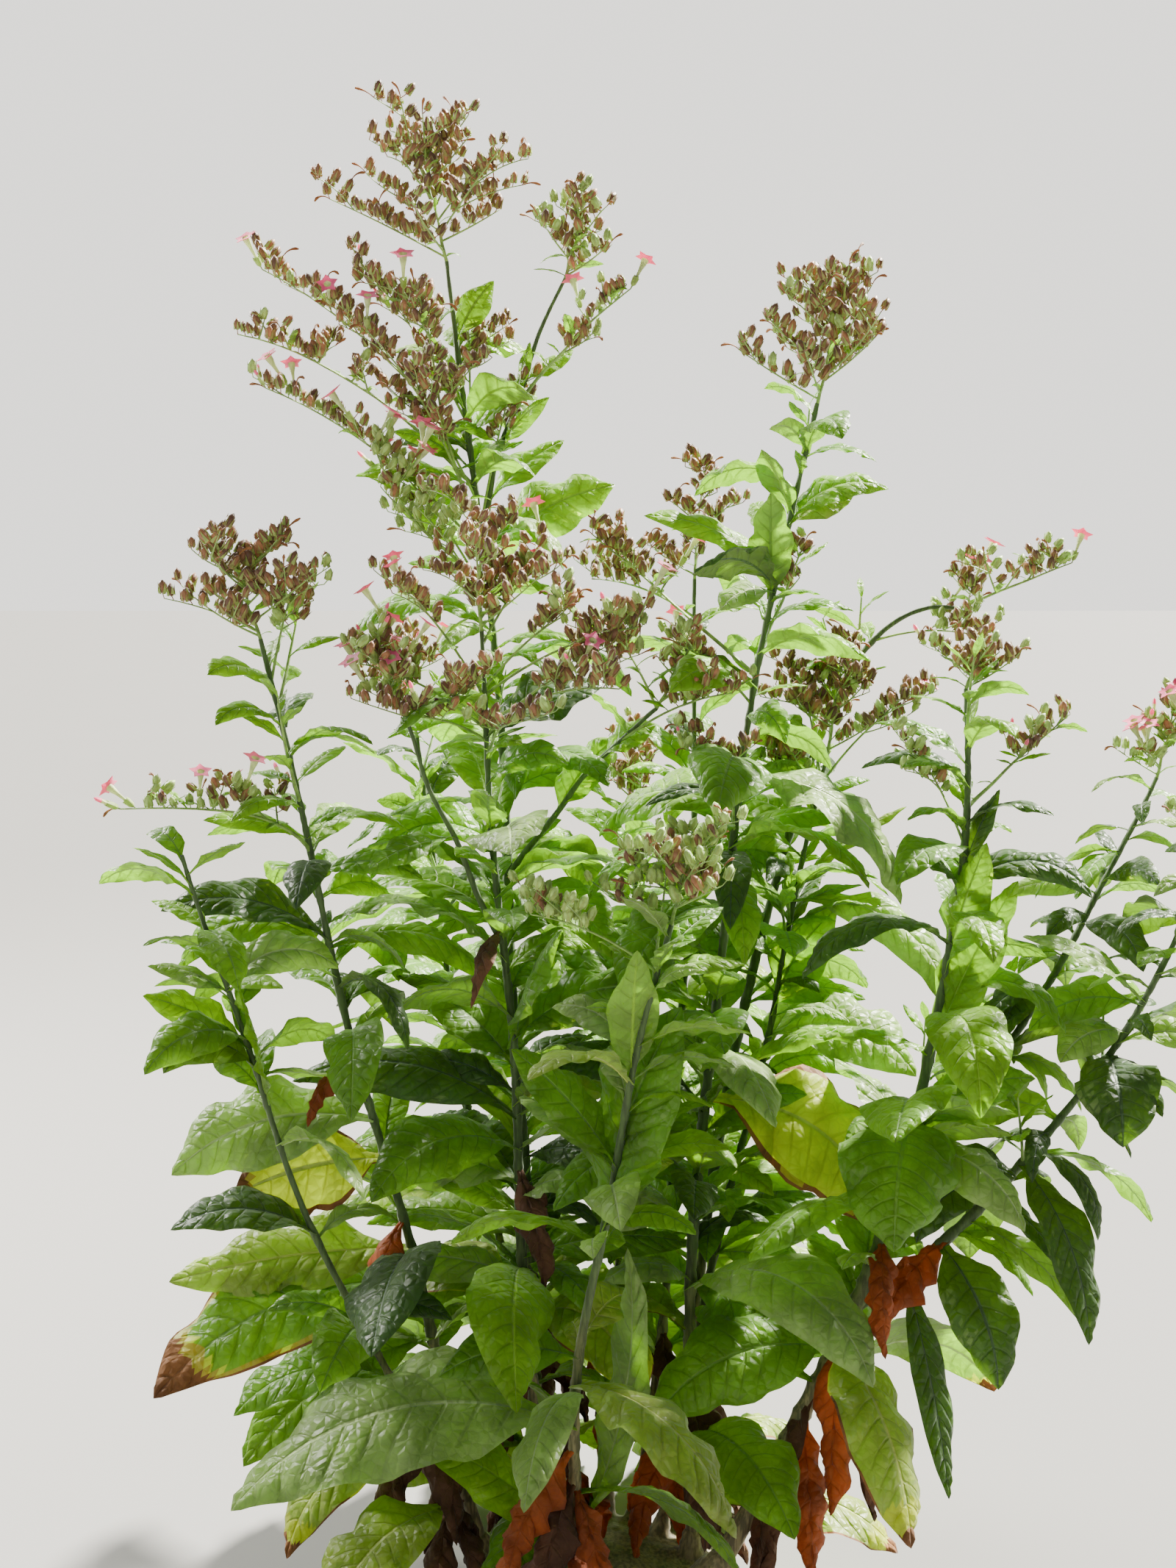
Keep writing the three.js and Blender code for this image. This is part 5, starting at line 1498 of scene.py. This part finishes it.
class TobaccoLeafSettings(PropertyGroup):
    filling: FloatProperty(name="Filling leaves",
                           description="How many smaller leaves fill the crown",
                           default=1, min=0, max=2)
    wave: FloatProperty(name="Wavy edge",
                        description="Depth of the waves in a leaf's edge, beside its half width",
                        default=0.15, min=0, max=0.4, subtype="FACTOR")
    quilt: FloatProperty(name="Quilting",
                         description="How far the blade bulges between its veins, beside its length",
                         default=0.0085, min=0, max=0.03, subtype="FACTOR", precision=4)
    rib: FloatProperty(name="Midrib",
                       description="Height of the midrib under the blade, beside the leaf's length",
                       default=0.011, min=0, max=0.03, subtype="FACTOR", precision=4)
    # The lime colour is partly painted light: young leaves are paler, and it is brightened further to
    # stand for the back light shining through them.
    lime_colour: colour_property("Lime", "Young leaves near the tops", 136, 182, 34)
    green_colour: colour_property("Green", "Most leaves", 104, 148, 42)
    # The deep green is partly painted shade: a darker copy of the green for leaves that hang in
    # shadow.
    deep_colour: colour_property("Deep green", "Leaves on the arching boughs", 60, 88, 46)
    # The grey green is partly painted sheen: downy leaves are greyer, and it is whitened further to
    # stand for light reflected off the down.
    silver_colour: colour_property("Grey green", "Downy old leaves", 162, 186, 112)
    pale_colour: colour_property("Pale green", "Leaves that start to fade", 176, 190, 84)
    yellow_colour: colour_property("Yellow", "Fading parts", 204, 214, 60)
    brown_colour: colour_property("Brown", "Dry edges and tips", 140, 94, 50)
    rust_colour: colour_property("Rust", "Dead leaves that still hang", 172, 92, 44)
    umber_colour: colour_property("Umber", "Old dead leaves at the foot", 104, 70, 48)
    glow_colour: colour_property("Light through", "Light that shines through a leaf", 196, 236, 26)


class TobaccoPanicleSettings(PropertyGroup):
    capsule_length: FloatProperty(name="Capsule length", description="Length of a seed capsule",
                                  default=0.0245, min=0.01, max=0.03, unit="LENGTH", precision=4)
    capsule_gap: FloatProperty(name="Capsule gap",
                               description="Distance between capsules along a twig",
                               default=0.0132, min=0.006, max=0.03, unit="LENGTH", precision=4)
    flower_length: FloatProperty(name="Flower length", description="Length of an open flower",
                                 default=0.05, min=0.02, max=0.07, unit="LENGTH", precision=3)
    ripe_colour: colour_property("Ripe capsule", "Colour of most ripe capsules", 124, 82, 50)
    unripe_colour: colour_property("Unripe capsule", "Colour of unripe capsules", 158, 188, 96)
    calyx_colour: colour_property("Calyx", "Colour of the lobes round a capsule", 170, 186, 104)
    petal_colour: colour_property("Petal", "Colour of an open flower", 246, 118, 160)
    tube_colour: colour_property("Flower tube", "Colour of a flower's tube", 208, 220, 158)


class TobaccoStageSettings(PropertyGroup):
    floor_size: FloatProperty(name="Floor", description="Width of the floor",
                              default=60, min=4, unit="LENGTH")
    floor_colour: colour_property("Floor colour", "Colour of the floor", 123, 122, 119)
    back_light: FloatProperty(name="Back light",
                              description="Strength of the soft sun behind the plant",
                              default=34, min=0)
    rim_light: FloatProperty(name="Rim light",
                             description="Power of the light behind the plant on its left",
                             default=580, min=0, unit="POWER")
    front_light: FloatProperty(name="Front light",
                               description="Power of the soft light before the plant",
                               default=45, min=0, unit="POWER")
    sky: FloatProperty(name="Sky", description="Strength of the light from all round",
                       default=0.25, min=0)
    backdrop: FloatProperty(name="Backdrop", description="Brightness of the space behind the plant",
                            default=1.88, min=0)


class TobaccoSettings(PropertyGroup):
    stems: PointerProperty(type=TobaccoStemSettings)
    leaves: PointerProperty(type=TobaccoLeafSettings)
    panicles: PointerProperty(type=TobaccoPanicleSettings)
    stage: PointerProperty(type=TobaccoStageSettings)


def settings():
    return bpy.context.scene.tobacco


def grown():
    """The plant, grown once and then kept for each operator."""
    if "plant" not in GROWN:
        plant = Plant()
        plant.grow_branches()
        plant.grow_more_leaves()
        plant.keep_in_view()
        plant.grow_filling_leaves(settings().leaves.filling)
        plant.grow_fine_twigs()
        plant.grow_bracts()
        GROWN["plant"] = plant
    return GROWN["plant"]


# Pieces

def settle(piece, slot, *nodes):
    """The piece rides on the plant's one body and stands for its nodes."""
    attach(piece, "root")
    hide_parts(*nodes)


def displaced(piece, name, scale, strength):
    """Dents and knobs pushed into a mesh by soft noise."""
    clouds = bpy.data.textures.new(name, "CLOUDS")
    clouds.noise_scale = scale
    clouds.noise_depth = 2
    modifier = piece.modifiers.new(name, "DISPLACE")
    modifier.texture = clouds
    modifier.strength = strength
    modifier.mid_level = 0.5
    modifier.texture_coords = "LOCAL"
    only(piece)
    bpy.ops.object.modifier_apply(modifier=name)


class TOBACCO_OT_finishes(Operator):
    """Make the finishes of stems, leaves, fruit and flowers"""
    bl_idname = "tobacco.finishes"
    bl_label = "Finishes"

    def execute(self, context):
        leaves, stems, panicles = settings().leaves, settings().stems, settings().panicles
        glow = tuple(leaves.glow_colour)
        colours = {name: tuple(getattr(leaves, name + "_colour")) for name in LEAF_COLOURS}
        for name in GREENS:
            # Deep leaves let less light through, as part of their painted shade.
            dim = 0.62 if name == "deep" else 1
            # Each underside takes some of the grey green, and with it some painted sheen.
            under = tuple(0.55 * a + 0.45 * b for a, b in zip(colours[name], colours["silver"]))
            leaf_finish(name, colours[name], darker(glow, dim), 0.56, 0.4)
            leaf_finish(name + "_under", darker(under, 1.05), darker(glow, dim), 0.56, 0.55)
            leaf_finish(name + "_rib", darker(colours[name], 1.15), darker(glow, 0.7 * dim),
                        0.25, 0.5)
        leaf_finish("yellow", colours["yellow"], (0.86, 0.98, 0.06), 0.6, 0.5)
        leaf_finish("gold", darker(colours["yellow"], 0.75), (0.75, 0.36, 0.03), 0.38, 0.55)
        leaf_finish("brown", colours["brown"], (0.5, 0.26, 0.06), 0.22, 0.7, True)
        leaf_finish("rust", colours["rust"], (0.95, 0.34, 0.03), 0.45, 0.62, True)
        leaf_finish("umber", colours["umber"], (0.3, 0.1, 0.03), 0.2, 0.75, True)
        ripe, unripe = tuple(panicles.ripe_colour), tuple(panicles.unripe_colour)
        calyx, petal = tuple(panicles.calyx_colour), tuple(panicles.petal_colour)
        tube_colour = tuple(panicles.tube_colour)
        dry_calyx = tuple(0.5 * a + 0.6 * b for a, b in zip(ripe, calyx))
        husk_finish("twig", tuple(stems.twig_colour), 0.6)
        husk_finish("dry_stalk", darker(ripe, 1.25), 0.7)
        husk_finish("ripe", ripe, 0.5)
        husk_finish("ripe_dark", darker(ripe, 0.62), 0.5)
        husk_finish("ripe_tan", darker(ripe, 1.55), 0.55)
        husk_finish("unripe", unripe, 0.5)
        husk_finish("calyx", calyx, 0.6, darker(glow, 0.8))
        husk_finish("dry_calyx", dry_calyx, 0.65, (0.5, 0.3, 0.1))
        husk_finish("flower_tube", tube_colour, 0.5, tube_colour)
        husk_finish("petal", petal, 0.5, petal)
        husk_finish("wisp", darker(colours["brown"], 1.3), 0.65, darker(colours["rust"], 0.7))
        old = tuple(stems.old_colour)
        # The stems' bark goes from green to straw as it ages. Its dark green is partly painted shade,
        # and its light straw is partly painted light.
        bark_finish("stem_bark", tuple(stems.young_colour), old, (0.22, 0.75))
        bark_finish("crown_bark", old, darker(old, 0.72), (0.05, 0.3))
        floor_finish("floor", tuple(settings().stage.floor_colour))
        return {"FINISHED"}


class TOBACCO_OT_stems(Operator):
    """Grow the twelve stems and five boughs, with a swelling at each leaf"""
    bl_idname = "tobacco.stems"
    bl_label = "Stems and boughs"

    def execute(self, context):
        plant = grown()
        sizes = settings().stems
        for name in [*STEMS, *BOUGHS]:
            limb = plant.limbs[name]
            count = math.ceil(np.linalg.norm(limb.path.tip - limb.path.foot) / WOOD["step"])
            shares = np.arange(count + 1) / count
            line = np.array([limb.path.point(t) for t in shares])
            knots = [leaf["base"] for leaves, spec in LEAVES.items() if spec[0] == name
                     for leaf in plant.leaves[leaves] if leaf["length"] > WOOD["knot_leaf"]]
            radii = []
            for t, place in zip(shares, line):
                near = min((np.linalg.norm(place - knot) for knot in knots), default=math.inf)
                knot = sizes.swelling * math.exp(-(near / WOOD["knot"]) ** 2)
                flare = WOOD["flare"] * math.exp(-place[2] / WOOD["flare_high"])
                radii.append(limb.radius_at(t) * (1 + (flare if name in STEMS else 0) + knot))
            bpy.ops.object.select_all(action="DESELECT")
            bpy.ops.curve.primitive_nurbs_path_add()
            path = context.active_object
            path.name = name + "_wood"
            path.data.splines.clear()
            spline = path.data.splines.new("POLY")
            spline.points.add(len(line) - 1)
            spline.points.foreach_set("co", np.hstack([line * MM, np.ones((len(line), 1))]).ravel())
            spline.points.foreach_set("radius", radii)
            path.data.bevel_depth = MM
            path.data.bevel_resolution = WOOD_MESH["resolution"]
            path.data.use_fill_caps = True
            path.data.twist_mode = "MINIMUM"
            path.location = (0, 0, 0)
            bpy.ops.object.convert(target="MESH")
            displaced(path, name + "_dents", WOOD_MESH["dent"], sizes.relief * WOOD_MESH["deep"])
            bpy.ops.object.shade_smooth_by_angle(angle=math.radians(SMOOTH["wood"]))
            path.data.materials.clear()
            path.data.materials.append(bpy.data.materials["stem_bark"])
            settle(path, "stem", name + "_stem" if name in STEMS else name)
        return {"FINISHED"}


class TOBACCO_OT_crown(Operator):
    """Model the knobbly root crown, which rises round the foot of each stem"""
    bl_idname = "tobacco.crown"
    bl_label = "Root crown"

    def execute(self, context):
        sizes = settings().stems
        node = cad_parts["root_crown"]
        crown = node.copy()
        crown.data = node.data.copy()
        context.collection.objects.link(crown)
        crown.parent = None
        crown.matrix_world = node.matrix_world.copy()
        for key in list(crown.keys()):
            del crown[key]
        crown.hide_render = crown.hide_viewport = False
        crown.name = "crown_wood"
        only(crown)
        bpy.ops.object.mode_set(mode="EDIT")
        bpy.ops.mesh.select_all(action="SELECT")
        bpy.ops.mesh.remove_doubles(threshold=CROWN_MESH["weld"])
        bpy.ops.object.mode_set(mode="OBJECT")
        feet = []
        for name in STEMS:
            limb = grown().limbs[name]
            low, high = limb.path.point(0.001), limb.path.point_at(CROWN_FEET["high"])
            lean = Vector(high - low).to_track_quat("Z", "Y").to_euler()
            bpy.ops.object.select_all(action="DESELECT")
            bpy.ops.mesh.primitive_cone_add(vertices=CROWN_FEET["sides"],
                                            radius1=limb.radius[0] * CROWN_FEET["low_wide"] * MM,
                                            radius2=limb.radius[0] * CROWN_FEET["high_wide"] * MM,
                                            depth=np.linalg.norm(high - low) * MM,
                                            location=(low + high) / 2 * MM, rotation=lean)
            feet.append(context.active_object)
        only(crown)
        for foot in feet:
            foot.select_set(True)
        bpy.ops.object.join()
        remesh = crown.modifiers.new("Remesh", "REMESH")
        remesh.mode = "VOXEL"
        remesh.voxel_size = CROWN_MESH["voxel"]
        bpy.ops.object.modifier_apply(modifier="Remesh")
        softened = crown.modifiers.new("Smooth", "SMOOTH")
        softened.factor = CROWN_MESH["soft"]
        softened.iterations = CROWN_MESH["rounds"]
        bpy.ops.object.modifier_apply(modifier="Smooth")
        displaced(crown, "crown_knobs", CROWN_MESH["knob"], sizes.crown_relief)
        displaced(crown, "crown_grain", CROWN_MESH["grain"], sizes.crown_relief * CROWN_MESH["fine"])
        only(crown)
        bpy.ops.object.mode_set(mode="EDIT")
        bpy.ops.mesh.select_all(action="SELECT")
        bpy.ops.mesh.bisect(plane_co=(0, 0, CROWN_MESH["ground"]), plane_no=(0, 0, 1),
                            use_fill=True, clear_inner=True)
        bpy.ops.object.mode_set(mode="OBJECT")
        bpy.ops.object.shade_smooth_by_angle(angle=math.radians(SMOOTH["wood"]))
        crown.data.materials.clear()
        crown.data.materials.append(bpy.data.materials["crown_bark"])
        settle(crown, "wood", "root_crown")
        return {"FINISHED"}


class TOBACCO_OT_leaves(Operator):
    """Unfold the leaves of each stem and of its side shoots"""
    bl_idname = "tobacco.leaves"
    bl_label = "Leaves"

    def execute(self, context):
        plant = grown()
        sizes = settings().leaves
        shoots = Bunch()
        for number, name in enumerate(LEAVES):
            bunch = Bunch()
            for i, leaf in enumerate(plant.leaves[name]):
                dice = dice_for("blade", number, i)
                look = leaf.get("look") or deal_look(leaf, dice, LEAVES[name][0] in ARCHED)
                add_blade(bunch, leaf, dice, look, sizes, 1 if name in COARSE_SETS else 0)
            settle(bunch.piece(name + "_blades", SMOOTH["blades"]), "leaf", name)
            for shoot in plant.shoots[name]:
                radii = np.linspace(*SHOOT["radius"], len(shoot.points))
                shoots.add(*tube(shoot.points, radii, 6), FINISH["twig"])
        settle(shoots.piece("side_shoots", SMOOTH["wood"]), "stem", *LEAVES)
        return {"FINISHED"}


class TOBACCO_OT_panicles(Operator):
    """Grow the panicles' twigs, with their capsules, flowers and small leaves"""
    bl_idname = "tobacco.panicles"
    bl_label = "Panicles"

    def execute(self, context):
        plant = grown()
        dressing = Dressing(plant, settings().panicles)
        settle(dressing.wood.piece("panicle_twigs", SMOOTH["wood"]), "panicle", *PANICLES)
        high = [name for name in PANICLES if plant.limbs[name].path.tip[2] > HIGH_PANICLE]
        low = [name for name in PANICLES if name not in high]
        settle(dressing.upper_fruit.piece("upper_capsules", SMOOTH["fruit"]), "panicle", *high)
        settle(dressing.lower_fruit.piece("lower_capsules", SMOOTH["fruit"]), "panicle", *low)
        settle(dressing.flowers.piece("flowers", SMOOTH["flowers"]), "panicle", *PANICLES)
        bracts = Bunch()
        for number, name in enumerate(PANICLES):
            for i, leaf in enumerate(plant.bracts[name]):
                dice = dice_for("bract_blade", number, i)
                add_blade(bracts, leaf, dice, deal_look(leaf, dice, False), settings().leaves)
        settle(bracts.piece("panicle_bracts", SMOOTH["blades"]), "leaf", *PANICLES)
        return {"FINISHED"}


class TOBACCO_OT_stage(Operator):
    """Set up the pale floor, the soft lights and the camera"""
    bl_idname = "tobacco.stage"
    bl_label = "Stage"

    def execute(self, context):
        stage = settings().stage
        bpy.ops.object.select_all(action="DESELECT")
        bpy.ops.mesh.primitive_plane_add(size=stage.floor_size, location=(0, 0, 0))
        floor = context.active_object
        floor.name = "floor"
        floor.data.materials.append(bpy.data.materials["floor"])
        for name, (kind, place, aim, colour, size) in LIGHTS.items():
            turn = (Vector(aim) - Vector(place)).to_track_quat("-Z", "Y").to_euler()
            bpy.ops.object.light_add(type=kind, location=place, rotation=turn)
            lamp = context.active_object
            lamp.name = name
            lamp.data.energy = getattr(stage, name)
            lamp.data.color = colour
            if kind == "SUN":
                lamp.data.angle = math.radians(size)
            else:
                lamp.data.shape = "DISK"
                lamp.data.size = size
        world = bpy.data.worlds.new("sky")
        world.use_nodes = True
        nodes, links = world.node_tree.nodes, world.node_tree.links
        sky = nodes["Background"]
        backdrop = nodes.new("ShaderNodeBackground")
        for node, colour, strength in ((sky, SKY_COLOUR, stage.sky),
                                       (backdrop, BACKDROP_COLOUR, stage.backdrop)):
            node.inputs["Color"].default_value = colour
            node.inputs["Strength"].default_value = strength
        path = nodes.new("ShaderNodeLightPath")
        seen = nodes.new("ShaderNodeMixShader")
        links.new(path.outputs["Is Camera Ray"], seen.inputs[0])
        links.new(sky.outputs[0], seen.inputs[1])
        links.new(backdrop.outputs[0], seen.inputs[2])
        links.new(seen.outputs[0], nodes["World Output"].inputs[0])
        context.scene.world = world
        tilt = math.radians(CAMERA["tilt"])
        bpy.ops.object.camera_add(location=vec(*EYE) * MM, rotation=(tilt, 0, 0))
        camera = context.active_object
        camera.data.sensor_fit = "AUTO"
        camera.data.sensor_width = CAMERA["sensor"]
        camera.data.lens = CAMERA["lens"]
        context.scene.camera = camera
        return {"FINISHED"}


class TOBACCO_PT_plant(Panel):
    """The parts of the plant, in the order in which they are made"""
    bl_label = "Tobacco plant"
    bl_space_type = "VIEW_3D"
    bl_region_type = "UI"
    bl_category = "Tobacco plant"

    def draw(self, context):
        plant = context.scene.tobacco
        for title, group, operators in (
            ("Finishes", None, ("tobacco.finishes",)),
            ("Stems", plant.stems, ("tobacco.stems", "tobacco.crown")),
            ("Leaves", plant.leaves, ("tobacco.leaves",)),
            ("Panicles", plant.panicles, ("tobacco.panicles",)),
            ("Stage", plant.stage, ("tobacco.stage",)),
        ):
            box = self.layout.box()
            box.label(text=title)
            if group:
                for key in group.bl_rna.properties.keys():
                    if key not in ("name", "rna_type"):
                        box.prop(group, key)
            for operator in operators:
                box.operator(operator)


CLASSES = (
    TobaccoStemSettings, TobaccoLeafSettings, TobaccoPanicleSettings, TobaccoStageSettings,
    TobaccoSettings, TOBACCO_OT_finishes, TOBACCO_OT_stems, TOBACCO_OT_crown, TOBACCO_OT_leaves,
    TOBACCO_OT_panicles, TOBACCO_OT_stage, TOBACCO_PT_plant,
)


def register():
    for class_ in CLASSES:
        bpy.utils.register_class(class_)
    bpy.types.Scene.tobacco = PointerProperty(type=TobaccoSettings)


def unregister():
    del bpy.types.Scene.tobacco
    for class_ in reversed(CLASSES):
        bpy.utils.unregister_class(class_)


def main():
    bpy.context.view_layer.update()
    register()
    bpy.ops.tobacco.finishes()
    bpy.ops.tobacco.stems()
    bpy.ops.tobacco.crown()
    bpy.ops.tobacco.leaves()
    bpy.ops.tobacco.panicles()
    bpy.ops.tobacco.stage()
    bpy.context.view_layer.update()


if __name__ == "__main__":
    main()
